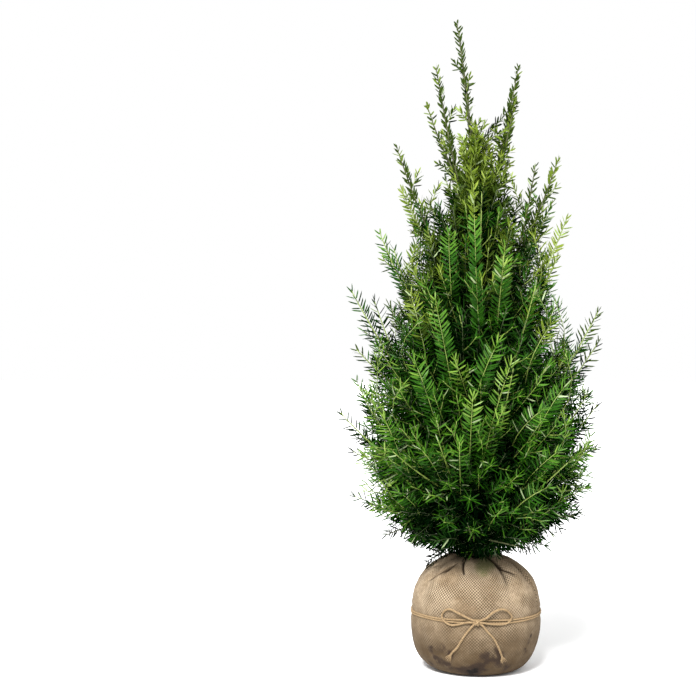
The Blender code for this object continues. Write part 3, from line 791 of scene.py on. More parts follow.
# The bow's lines on the cloth: steps to the side of the knot and up from it, for each side
LOOP_LINES = {
    "left": (
        (-0.002, 0.002), (-0.015, 0.0075), (-0.0346, 0.0168), (-0.0497, 0.0215), (-0.0606, 0.0190),
        (-0.0668, 0.0095), (-0.0626, -0.0020), (-0.0497, -0.0084), (-0.0384, -0.0074), (-0.0196, -0.0012),
        (-0.003, 0.0),
    ),
    "right": (
        (0.002, 0.001), (0.0178, 0.0103), (0.029, 0.0178), (0.044, 0.0235), (0.0560, 0.0206),
        (0.0665, 0.0090), (0.0600, -0.0024), (0.0458, -0.0057), (0.0272, -0.0040), (0.0104, -0.0012),
        (0.003, 0.0),
    ),
}
TAIL_LINES = {
    "left": (
        (-0.001, -0.001), (-0.0084, -0.0084), (-0.0215, -0.0235), (-0.031, -0.0384), (-0.0384, -0.0515),
        (-0.0470, -0.0610), (-0.0515, -0.0690),
    ),
    "right": (
        (0.001, -0.001), (0.0104, -0.0075), (0.0196, -0.0178), (0.0327, -0.0327), (0.0403, -0.0477),
        (0.0458, -0.0609), (0.0490, -0.0720),
    ),
}
PLY_OUT = 0.48  # how far a ply's middle runs from the twine's, and its own radius, as shares of the twine's
PLY_THICK = 0.60
PLY_LUMPS = 0.07  # how much thicker and thinner a ply gets, and over which length
PLY_LUMP_SIZE = 0.004
LOOP_REACH = 0.067  # of the longer loop, from the knot
BOW_THICKER = 1.22  # than the strands round the ball
RING_STATIONS = 240
FIBRE_LENGTH = 0.006  # the longest stray fibre
FIBRE_RADIUS = 0.00009
FRAY_PLIES = 5  # thick strands in a tail's brush
FRAY_STRANDS = 26  # and all in all
FRAY_RADIUS = 0.00016  # of the thin ones
FRAY_SPREAD = 0.62  # how far these lean aside, against ahead
FRAY_SHORTEST = (0.012, 0.006)  # the least lengths of thick and thin strands, and the most of both
FRAY_LONGEST = 0.016
# The knot's turns: tilt to the side, half width, half height and shift to the side
KNOT_TURNS = ((0.20, 0.0040, 0.0046, -0.0011), (-0.16, 0.0040, 0.0046, 0.0014), (0.95, 0.0036, 0.0044, 0.0))


def twine_finish():
    """Tan jute: streaks along the plies in light and dark straw."""
    finish, shader = principled("jute_twine", (0.60, 0.42, 0.24), 0.9)
    shader.inputs["Specular IOR Level"].default_value = 0.2
    wires = Wires(finish)
    streak = wires.noise(650.0, 3.0, 0.7)
    tint = wires.mix(wires.fade(streak, 0.30, 0.70), (0.110, 0.066, 0.029), (0.350, 0.250, 0.140))
    patch = wires.fade(wires.noise(60.0, 2.0), 0.45, 0.7)
    wires.link(wires.mix(wires.times(patch, 0.35), tint, (0.20, 0.135, 0.070)), streak, 0.7, 0.0005)
    return finish


def resample(path, step, closed=False):
    """The path at even steps, through the straight runs between its dense points."""
    gone = run_length(path)
    count = max(int(gone[-1] / step), 4)
    return between(np.linspace(0.0, gone[-1], count, endpoint=not closed), gone, path)


def smooth_path(points, step):
    """A Catmull-Rom curve through the points, at even steps."""
    points = np.asarray(points, float)
    padded = np.concatenate([2 * points[:1] - points[1:2], points, 2 * points[-1:] - points[-2:-1]])
    share = np.linspace(0.0, 1.0, 24, endpoint=False)[:, None]
    runs = []
    for one, two, three, four in zip(padded, padded[1:], padded[2:], padded[3:]):
        square = (2 * one - 5 * two + 4 * three - four) * share**2
        cube = (3 * two - one - 3 * three + four) * share**3
        runs.append(0.5 * (2 * two + (three - one) * share + square + cube))
    return resample(np.concatenate(runs + [points[-1:]]), step)


def joined(parts):
    """One set of points, four-cornered and three-cornered faces from several."""
    columns = ([], [], [])
    total = 0
    for points, quads, triangles in parts:
        for column, values in zip(columns, (points, quads + total, triangles + total)):
            column.append(values)
        total += len(points)
    return tuple(np.concatenate(column) for column in columns)


def twisted(path, radius, seed, closed=False):
    """Points and faces of twine: each ply is a round tube wound as a helix round the path.

    A ply's middle runs at nearly half the twine's radius from the path, and turns once each twist length.
    """
    ahead = np.gradient(path, axis=0)
    if closed:
        ahead = np.roll(path, -1, axis=0) - np.roll(path, 1, axis=0)
    ahead = unit(ahead)
    length = run_length(path)
    whole = length[-1] + (np.linalg.norm(path[0] - path[-1]) if closed else 0.0)
    twists = max(round(whole / PLY_TWIST), 1) if closed else whole / PLY_TWIST
    aside = unit(np.cross(ahead, np.array([0.13, 0.21, 0.97])))
    above = np.cross(aside, ahead)
    fuzz = 1.0 + bumps(path, PLY_LUMP_SIZE, seed, PLY_LUMPS)
    plies = []
    for ply in range(PLIES):
        turn = 2 * math.pi * (twists * length / whole + ply / PLIES)
        away = aside * np.cos(turn)[:, None] + above * np.sin(turn)[:, None]
        middle = path + away * radius * PLY_OUT
        if closed:
            middle = np.concatenate([middle, middle[:1]])
        thick = np.resize(radius * PLY_THICK * fuzz, len(middle))
        plies.append(tube_grid(middle[None], thick[None], PLY_SIDES))
    return joined(plies)


def loose_fibres(path, radius, count, seed):
    """Stray fibres: thin bent tubes that leave the twine at slight angles."""
    draw = np.random.default_rng(seed)
    ahead = unit(np.gradient(path, axis=0))
    at = draw.integers(1, len(path) - 1, count)
    away = square_to(unit(draw.normal(size=(count, 3))), ahead[at])
    away = unit(away + unit(path[at] * LEVEL) * 0.6)
    length = draw.uniform(0.35, 1.0, count)[:, None] * FIBRE_LENGTH
    along = ahead[at] * draw.choice([-1.0, 1.0], count)[:, None]
    start = path[at] + away * radius * 0.8
    bend = start + (along * 0.7 + away * 0.25) * length * 0.6
    end = bend + (along * 0.5 + away * 0.6) * length * 0.5
    paths = bezier(start[:, None], bend[:, None], end[:, None], np.linspace(0, 1, 4)[None])
    return tube_grid(paths, np.full((count, 4), FIBRE_RADIUS), 3)


def cloth_hit(tree, azimuth, height):
    """Where a level ray from outside towards the axis meets the burlap."""
    heading = Vector((math.cos(azimuth), math.sin(azimuth), 0.0))
    return np.array(tree.ray_cast(Vector((0, 0, height)) + heading * 0.4, -heading)[0])


def on_cloth(tree, x, height, lift):
    """The point on the front of the burlap at this X and height, lifted clear of it."""
    hit = tree.ray_cast(Vector((x, -0.4, height)), Vector((0, 1, 0)))
    return np.array(hit[0]) + np.array(hit[1]) * lift


def piece(name, shape, finish, slot, *nodes):
    """A joined piece that rides on the body, takes this finish and stands for these nodes; the slot is not
    used.
    """
    made = add_mesh(name, shape[0], shape[1:], finish)
    if nodes:
        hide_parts(*nodes)
    return made


def twine_rings(cloth_tree, finish):
    """Two strands round the ball, a little uneven, bedded in the waist of the burlap."""
    for index, node in enumerate(("twine_upper", "twine_lower")):
        low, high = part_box(node)
        height = (low.z + high.z) / 2
        radius = (high.z - low.z) / 2 * 1.03
        path = []
        for azimuth in 2 * math.pi * np.arange(RING_STATIONS) / RING_STATIONS:
            level = height + 0.0007 * math.sin(3 * azimuth + index * 2) + 0.0005 * math.sin(7 * azimuth)
            hit = cloth_hit(cloth_tree, azimuth, level)
            path.append(hit + unit(hit * LEVEL) * radius * 0.72)
        path = running_average(np.array(path[-5:] + path + path[:5]), 11)
        path = resample(np.concatenate([path, path[:1]]), STRAND_STEP, closed=True)
        parts = [twisted(path, radius, 31 + index, closed=True), loose_fibres(path, radius, 260, 41 + index)]
        piece(node + "_jute", joined(parts), finish, "twine", node)


def bow(cloth_tree, finish):
    """The bow: two drop-shaped loops, two tails with frayed ends, and a knot wrapped over them.

    A loop stands higher off the cloth than a tail, most of all by the knot and along its upper run.
    """
    low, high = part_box("bow_knot")
    knot = np.array((low + high) / 2)
    strand_low, strand_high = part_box("twine_upper")
    radius = (strand_high.z - strand_low.z) / 2
    thick = radius * BOW_THICKER
    for side in ("left", "right"):
        node = "bow_loop_" + side
        corners = []
        for across, rise in LOOP_LINES[side]:
            far = abs(across) / LOOP_REACH
            lift = radius * (3.3 - 1.5 * far + 1.4 * math.sin(math.pi * far) * (rise > 0))
            corners.append(on_cloth(cloth_tree, knot[0] + across, knot[2] + rise, lift))
        path = smooth_path(corners, STRAND_STEP)
        parts = [twisted(path, thick, 51), loose_fibres(path, radius, 60, 52)]
        piece(node + "_jute", joined(parts), finish, "twine", node)

        node = "bow_tail_" + side
        corners = []
        for across, rise in TAIL_LINES[side]:
            lift = radius * (1.05 + 2.1 * (1 - ease(rise, 0.0, -0.03)))
            corners.append(on_cloth(cloth_tree, knot[0] + across, knot[2] + rise, lift))
        path = smooth_path(corners, STRAND_STEP)
        parts = [twisted(path, thick, 61), loose_fibres(path, radius, 70, 62)]
        parts.append(frayed_end(path, thick, 71 + len(side)))
        piece(node + "_jute", joined(parts), finish, "twine", node)
    knot_piece(knot, radius, finish)


def frayed_end(path, radius, seed):
    """The brush where a tail ends: five plies and many fibres that splay apart, each a short curve."""
    draw = np.random.default_rng(seed)
    tip = path[-3]
    ahead = unit(path[-1] - path[-8])
    outward = unit(tip * LEVEL)
    aside = np.cross(ahead, outward)
    strands = []
    radii = []
    for index in range(FRAY_STRANDS):
        thick = index < FRAY_PLIES
        even = (index / (FRAY_PLIES - 1) - 0.5) * 0.75
        spread = even if thick else draw.uniform(-FRAY_SPREAD, FRAY_SPREAD)
        length = draw.uniform(FRAY_SHORTEST[0 if thick else 1], FRAY_LONGEST)
        heading = unit(ahead + aside * spread + outward * draw.uniform(-0.02, 0.14))
        start = tip + aside * spread * radius
        bend = start + unit(ahead + aside * spread * 1.5) * length * 0.5
        end = bend + heading * length * 0.5
        strands.append(bezier(start, bend, end, np.linspace(0, 1, 7)))
        root = radius * 0.55 if thick else FRAY_RADIUS
        radii.append(np.linspace(root, root * 0.35, 7))
    return tube_grid(np.array(strands), np.array(radii), 5)


def knot_piece(knot, radius, finish):
    """The knot: two turns of twine wound upright over the crossing, and one slanting over the front."""
    parts = []
    turn = np.linspace(0.0, 2 * math.pi, 60, endpoint=False)
    for index, (tilt, width, height, shift) in enumerate(KNOT_TURNS):
        ring = knot + np.stack([
            shift + np.sin(turn) * height * math.sin(tilt),
            np.cos(turn) * width * 0.80 - 0.0004 * index,
            np.sin(turn) * height * math.cos(tilt),
        ], -1)
        path = resample(np.concatenate([ring, ring[:1]]), 0.0007, closed=True)
        parts.append(twisted(path, radius * 0.92, 81 + index, closed=True))
    piece("bow_knot_jute", joined(parts), finish, "twine", "bow_knot")


# Wood
TRUNK_STATIONS = 240
TRUNK_COLUMNS = 30
TRUNK_RELIEF = 0.0011
LIMB_STATIONS = 40
LIMB_COLUMNS = 12
LIMB_RELIEF = 0.0006
RIDGE_SIZE = 0.0042  # width of the bark's ridges, and their width against their length
RIDGE_SQUEEZE = 0.22
KNOT_SIZE = 0.016
BARK_TOP = 1.10  # this year's green stem goes on from here
TRUNK_SHOOT_SPACING = 0.011
LIMB_SHOOTS = (0.35, 0.6, 0.85)  # where short shoots stand along a limb, as shares of its length


def trunk_line():
    """The trunk's centre line and radii, from the frame: the means and sizes of its rings."""
    points, _ = node_surface("trunk")
    rings = points[np.argsort(points[:, 2], kind="stable")].reshape(-1, TRUNK_SIDES, 3)
    centres = rings.mean(1)
    radii = np.linalg.norm(rings - centres[:, None], axis=2).mean(1)
    return centres, radii


def barked_limb(centres, radii, stations, columns, relief, seed):
    """A limb's skin: a circle carried along its path, moved out by long ridges and small knots of bark."""
    gone = run_length(centres)
    want = np.linspace(0.0, gone[-1], stations)
    path = between(want, gone, centres)
    thick = np.interp(want, gone, radii)
    points, quads, caps = tube_grid(path[None], thick[None], columns)
    skin = points[:-2].reshape(stations, columns, 3)
    away = unit(skin - path[:, None])
    ridges = 1.0 - np.abs(value_noise(skin * [1.0, 1.0, RIDGE_SQUEEZE], RIDGE_SIZE, seed))
    knots = value_noise(skin, KNOT_SIZE, seed + 1)
    bark = (ridges * 1.3 + knots * 0.9 - 0.6)[..., None]
    skin += away * (relief * thick / thick.max())[:, None, None] * bark
    points[:-2] = skin.reshape(-1, 3)
    return points, quads, caps


def limb_line(bough, trunk_centres):
    """A limb's start on the trunk, the rings before and at its end, and its radii, from the frame's limb."""
    points, _ = node_surface("limb_" + bough)
    middle = between(points[:, 2], trunk_centres[:, 2], trunk_centres)
    order = np.argsort(-np.linalg.norm((points - middle)[:, :2], axis=1))
    end_ring, before_ring = points[order[: 2 * LIMB_SIDES]].reshape(2, LIMB_SIDES, 3)
    first_ring = points[order[-LIMB_SIDES:]]
    end = end_ring.mean(0)
    start = first_ring.mean(0)
    start_radius = np.linalg.norm(first_ring - start, axis=1).mean()
    end_radius = np.linalg.norm(end_ring - end, axis=1).mean()
    return start, before_ring.mean(0), end, start_radius, end_radius


def sharp_tips(points, triangles, base):
    """The points of a mass that stick out: further from its base than all round them, with those behind."""
    found = []
    away = np.linalg.norm(points - base, axis=1)
    edges = np.concatenate([triangles[:, [0, 1]], triangles[:, [1, 2]], triangles[:, [2, 0]]])
    for index in range(len(points)):
        around = np.unique(edges[edges[:, 0] == index, 1])
        if len(around) < 4 or np.any(away[around] > away[index]):
            continue
        pull = np.linalg.norm(unit(points[around] - points[index]).mean(0))
        if pull > 0.78:
            found.append((away[index], points[index]))
    found.sort(key=lambda item: -item[0])
    return [tip for _, tip in found]


class Shoots:
    """All shoots of the plant, each a curve with a spray plane, a colour and a needle length."""

    def __init__(self):
        self.rows = []
        self.spots = []

    def sprout(self, points, headings):
        """Remembers wood that later shoots may grow from."""
        self.spots.extend(zip(points, headings))

    def add(self, start, bend, end, above, tone, needle, around, radius=SHOOT_RADIUS):
        """One more shoot: curve, spray's upper side, tone, needle length, share all round, stem radius."""
        self.rows.append((start, bend, end, above, tone, needle, around, radius))

    def table(self):
        """The shoots as whole arrays."""
        return [np.array(column, float) for column in zip(*self.rows)]


shoots = Shoots()
wood = {"brown": [], "olive": [], "shaded": [], "green": []}


def nearest(spots, place):
    """The number of the spot nearest to a place."""
    return int(np.argmin(np.sum((spots - place) ** 2, axis=1)))


def tone_at(place, draw):
    """How light a shoot's green is, from 0 to 1: lighter outside and high up, but for the very top, in part
    painted light and shade.
    """
    height = place[2]
    high = (height - CROWN_FOOT) / CROWN_RISE + rising(height, *UPPER_LIGHT) - rising(height, *TOP_SHADE)
    reach = 0.06 + 0.24 * ease(height, 1.32, 0.57) * ease(height, 0.10, 0.35)
    out = math.hypot(place[0], place[1]) / reach
    outside = max(ease(out, 0.35, 0.95), ease(height, 0.94, 1.06))
    tone = TONE_BASE - TONE_LOW * ease(height, 0.62, 0.27) + TONE_HIGH * high + TONE_OUTSIDE * outside
    return tone + draw.normal() * TONE_CHANCE


def shade_at(height):
    """How shaded the inside of the crown is: fully below, and hardly where it is thin near the top."""
    return 1.0 - rising(height, *INNER_SHADE)


def lift_at(height):
    """How strongly shoots turn up: hardly at the foot, fully from the middle of the crown."""
    return LEAST_LIFT + rising(height, *LIFT)


def needle_at(height):
    """Needle length at this height: shorter towards the top."""
    return NEEDLE_LENGTH * (1.0 - (1.0 - TOP_NEEDLES) * ease(height, *TOP_HEIGHTS))


def crown_radius(height):
    """The radius of the dense part of the crown at one height or more."""
    return np.interp(height, *CROWN_OUTLINE.T)


def spray_normal(heading, place, draw):
    """The upper side of a flat spray: up and outwards within the crown, and along its surface beyond it.

    So the sprays within face the onlooker, and those at the edge show against the sky. Each is rolled a
    little at random and made square to its shoot.
    """
    outward = unit(place * LEVEL + 1e-6)
    edge = crown_radius(place[2]) * FREE_SHARE
    free = ease(math.hypot(place[0], place[1]), edge, edge + FREE_WIDTH)
    within = UP * 0.30 + outward * 0.75
    beyond = np.cross(UP, outward) * 0.90
    return square_to(within * (1.0 - free) + beyond * free + draw.normal(size=3) * ROLL, heading)


def grow_lateral(place, heading, length, draw, tone_shift=0.0, sprigs=True, above=None):
    """A side shoot that turns up along its length."""
    bend = place + heading * length * 0.5
    later = unit(heading * 0.8 + UP * lift_at(place[2]) + draw.normal(size=3) * 0.07)
    grow_shoot(place, bend, bend + later * length * 0.5, draw, tone_shift, sprigs, above)


def grow_shoot(place, bend, end, draw, tone_shift=0.0, sprigs=True, above=None):
    """A shoot along a quadratic curve, kept inside the frame's box, with shorter sprigs in its own plane."""
    end = np.concatenate([np.clip(end[:2], BOX_LOW, BOX_HIGH), end[2:]])
    length = np.linalg.norm(bend - place) + np.linalg.norm(end - bend)
    whole = unit(end - place)
    above = spray_normal(whole, place, draw) if above is None else square_to(above, whole)
    tone = tone_at(end, draw) + tone_shift
    needle = needle_at(end[2]) * draw.uniform(0.90, 1.06)
    around = ROUND_LEAST + rising(whole[2], *ROUND_STEEP) + rising(end[2], *ROUND_HIGH)
    shoots.add(place, bend, end, above, tone, needle, around)
    if not sprigs:
        return
    part = np.array([0.2, 0.4, 0.6, 0.8])
    shoots.sprout(bezier(place, bend, end, part), bezier_heading(place, bend, end, part))
    if length < SPRIGGED_LENGTH:
        return
    across = np.cross(whole, above)
    gone = draw.uniform(*SPRIG_START)
    side = draw.choice([-1.0, 1.0])
    while gone < length - SPRIG_TIP:
        spot = bezier(place, bend, end, gone / length)
        ahead = bezier_heading(place, bend, end, gone / length)
        out = unit(ahead * 0.72 + across * side * 0.68 + above * draw.normal() * 0.16)
        reach = np.clip((length - gone) * draw.uniform(*SPRIG_SHARE), *SPRIG_LENGTHS)
        grow_lateral(spot, out, reach, draw, tone_shift + SPRIG_TONE, sprigs=False, above=above)
        side = -side
        gone += SPRIG_SPACING * draw.uniform(*UNEVEN)


def grow_axis(start, bend, end, envelope, draw, from_share, thick, bare):
    """A bough's main axis, with laterals all round it that reach to the surface of its mass.

    A lateral's length is the distance to the mass's surface along its heading, kept within bounds, and
    shorter towards the axis's tip. Laterals stand round the axis at the golden angle.
    """
    length = np.linalg.norm(bend - start) + np.linalg.norm(end - bend)
    share = np.linspace(0.0, 1.0, AXIS_STATIONS)
    path = bezier(start, bend, end, share)
    radii = thick * (1 - share) ** 0.8 + 0.0008
    shoots.sprout(path[:-2], bezier_heading(start, bend, end, share[:-2]))
    green = min((SHORT_GREEN if bare < SHORT_BARE else GREEN_LENGTH) / length, 0.95)
    split = AXIS_STATIONS - 1 - round((AXIS_STATIONS - 1) * green)
    wood["brown"].append((path[: split + 1], radii[: split + 1]))
    leading = end[2] > LEADING_HEIGHT
    wood["olive" if leading or end[2] < FOOT_HEIGHT else "green"].append((path[split:], radii[split:]))
    tone = tone_at(end, draw) + (LEADING_TONE if leading else TAIL_TONE)
    above = spray_normal(unit(end - bend), end, draw)
    tail = bezier(start, bend, end, 1.0 - green + green * np.array([0.0, 0.5, 1.0]))
    tail_bend = 2 * tail[1] - (tail[0] + tail[2]) / 2
    needle = needle_at(end[2]) * (0.84 if leading else 0.88)
    around = ROUND_LEADING if leading else ROUND_TAIL
    shoots.add(tail[0], tail_bend, tail[2], above, tone, needle, around, TAIL_RADIUS)
    turn = draw.uniform(0, 2 * math.pi)
    gone = from_share * length
    while gone < length - bare:
        part = gone / length
        spot = bezier(start, bend, end, part)
        ahead = bezier_heading(start, bend, end, part)
        across = unit(np.cross(ahead, UP) + 1e-9)
        above = np.cross(across, ahead)
        turn += GOLDEN_ANGLE + draw.normal() * 0.2
        splay = math.radians(58 - 22 * part + draw.normal() * 6)
        aside = across * math.cos(turn) + above * math.sin(turn)
        heading = ahead * math.cos(splay) + aside * math.sin(splay)
        hit = envelope.ray_cast(Vector(spot), Vector(heading))
        room = hit[3] if hit[0] is not None else 0.06
        reach = np.clip(room * draw.uniform(0.80, 1.10), *LATERAL_LENGTHS)
        reach = min(reach, 0.020 + (length - gone) * 0.62)
        if reach > LATERAL_SHORTEST:
            grow_lateral(spot, unit(heading), reach, draw)
        gone += LATERAL_SPACING * draw.uniform(*UNEVEN)


def grow_mass(node, base, heading, thick, draw, pull=0.45):
    """Everything in one mass: its main axis to its furthest tip, and an axis to each other tip."""
    points, triangles = node_surface(node)
    envelope = BVHTree.FromPolygons([tuple(p) for p in points], [tuple(t) for t in triangles.tolist()])
    tips = sharp_tips(points, triangles, base)
    main = max(tips, key=lambda tip: np.linalg.norm(tip - base)) if tips else points[np.argmax(points[:, 2])]
    main = base + (main - base) * TIP_INSIDE
    bare = next((length for tier, length in BARE_TIPS.items() if tier in node), 0.018)
    span = np.linalg.norm(main - base)
    bend = base + heading * span * 0.5 * (1 - pull) + (main - base) * 0.5 * pull
    grow_axis(base, bend, main, envelope, draw, 0.02, thick, bare)
    for tip in tips:
        if np.linalg.norm(tip - main) < FORK_APART or np.linalg.norm(tip - base) < FORK_REACH * span:
            continue
        tip = base + (tip - base) * TIP_INSIDE
        fork = bezier(base, bend, main, FORK_SHARE)
        elbow = fork + (tip - fork) * BEND_REACH
        elbow[2] = fork[2] + BEND_RISE * (tip[2] - fork[2])
        if node == "mass_leader":
            grow_shoot(fork, elbow, tip, draw, sprigs=False)
        else:
            grow_axis(fork, elbow, tip, envelope, draw, 0.15, thick * FORK_THINNER, bare)


def outline_points(share, spacing, step_up, draw):
    """Points spread over the crown's outline, at a share of its radius, in uneven rings.

    Each ring holds as many as the spacing lets it, and the rings lie closer together at the foot.
    """
    found = []
    height = CROWN_OUTLINE[0, 0]
    while height < CROWN_OUTLINE[-1, 0]:
        radius = crown_radius(height) * share
        count = max(round(2 * math.pi * radius / spacing), 3)
        turn = (np.arange(count) + draw.uniform(-0.32, 0.32, count) + draw.random()) * 2 * math.pi / count
        ring = radius * draw.uniform(0.90, 1.09, count)
        level = np.maximum(height + draw.uniform(-0.45, 0.45, count) * spacing, LOWEST_FILL)
        found.append(np.stack([ring * np.cos(turn), ring * np.sin(turn), level], -1))
        height += step_up * (0.50 + 0.50 * ease(height, 0.30, 0.52))
    return np.concatenate(found)


def fill_crown(draw):
    """Shoots that grow on to points of the nested outlines, from the best placed wood grown so far.

    Each is meant to arrive along a wanted heading, so the wood nearest to the point less the heading times
    the layer's shoot length is taken.
    """
    for share, spacing, step_up, length, tone_shift in FILL_LAYERS:
        targets = outline_points(share, spacing, step_up, draw)
        rise = np.interp(targets[:, 2], *FILL_RISE.T)[:, None]
        wanted = unit(targets * LEVEL) * np.cos(rise) + UP * np.sin(rise)
        spots, headings = (np.array(column) for column in zip(*shoots.spots))
        for target, root in zip(targets, targets - wanted * length):
            index = nearest(spots, root)
            span = np.linalg.norm(target - spots[index])
            if 0.03 < span < FILL_REACH:
                heading = unit(target - spots[index]) + headings[index] * 0.25
                heading -= UP * lift_at(target[2]) * 0.4
                bend = spots[index] + unit(heading) * span * 0.5
                grow_shoot(spots[index], bend, target, draw, tone_shift * shade_at(target[2]))


def grow_shown(draw):
    """The striking shoots, each from the nearest wood, up along the crown's surface, on all four sides."""
    spots = np.array([spot for spot, _ in shoots.spots])
    for turn in np.radians(SHOWN_TURNS):
        aside = np.array([math.cos(turn), math.sin(turn), 0.0])
        out = np.array([math.sin(turn), -math.cos(turn), 0.0])
        for x, height, tip_x, tip_height in SHOWN_SHOOTS:
            radius, tip_radius = crown_radius([height, tip_height]) * SHOWN_OUT
            depth = math.sqrt(max(radius**2 - x**2, 0.0))
            tip_depth = math.sqrt(max(tip_radius**2 - tip_x**2, 0.0))
            bend = aside * x + out * depth + UP * (height + SHOWN_BEND * (tip_height - height))
            tip = aside * tip_x + out * tip_depth + UP * tip_height
            root = spots[nearest(spots, aside * x + out * depth * SHOWN_ROOT + UP * (height - SHOWN_DROP))]
            grow_shoot(root, bend, tip, draw, SHOWN_TONE, False, out + UP * 0.2)
        for x, height in SHOWN_ENDS:
            radius = min(crown_radius(height) * END_OUT, END_REACH)
            tip = aside * x + out * math.sqrt(radius**2 - x**2) + UP * height
            start = tip - unit(out + aside * x / radius * 0.8 + UP * 0.15) * END_LENGTH
            root = spots[nearest(spots, start)]
            tone = tone_at(tip, draw)
            shoots.add(start, (start + tip) / 2, tip, UP, tone + END_TONE, NEEDLE_LENGTH, END_ROUND)
            stem_tone = tone + END_STEM_TONE
            shoots.add(root, (root + start) / 2, start, out, stem_tone, NEEDLE_LENGTH, END_STEM_ROUND)


def grow_crown(trunk_centres):
    """The whole crown: the boughs' masses, short shaded shoots on the trunk, and shoots in the gaps."""
    for index, bough in enumerate(BOUGHS):
        draw = np.random.default_rng(100 + index)
        start, before, end, _, end_radius = limb_line(bough, trunk_centres)
        grow_mass("mass_" + bough, end, unit(end - before), end_radius * 0.9, draw)
        for share in LIMB_SHOOTS:
            spot = start + (end - start) * share
            shoots.sprout([spot], [unit(end - start)])
            for _ in range(2):
                heading = unit(unit(end - start) * 0.5 + unit(draw.normal(size=3)) * 0.8)
                grow_lateral(spot, heading, draw.uniform(0.05, 0.10), draw, LIMB_TONE)
    draw = np.random.default_rng(99)
    points, _ = node_surface("mass_leader")
    base_height = points[:, 2].min() + 0.01
    base, above = between([base_height, base_height + 0.03], trunk_centres[:, 2], trunk_centres)
    grow_mass("mass_leader", base, unit(above - base), 0.0034, draw, pull=0.0)
    heights = np.arange(trunk_centres[0, 2] + 0.03, base_height, TRUNK_SHOOT_SPACING)
    for height, spot in zip(heights, between(heights, trunk_centres[:, 2], trunk_centres)):
        turn = height / TRUNK_SHOOT_SPACING * GOLDEN_ANGLE
        heading = unit(np.array([math.cos(turn), math.sin(turn), 0.15 + 0.8 * ease(height, 0.3, 0.6)]))
        reach = 0.06 + 0.07 * ease(height, 0.95, 0.55)
        shoots.sprout([spot], [UP])
        grow_lateral(spot, heading, reach * draw.uniform(0.8, 1.2), draw, TRUNK_TONE * shade_at(height))
    fill_crown(draw)
    grow_shown(draw)


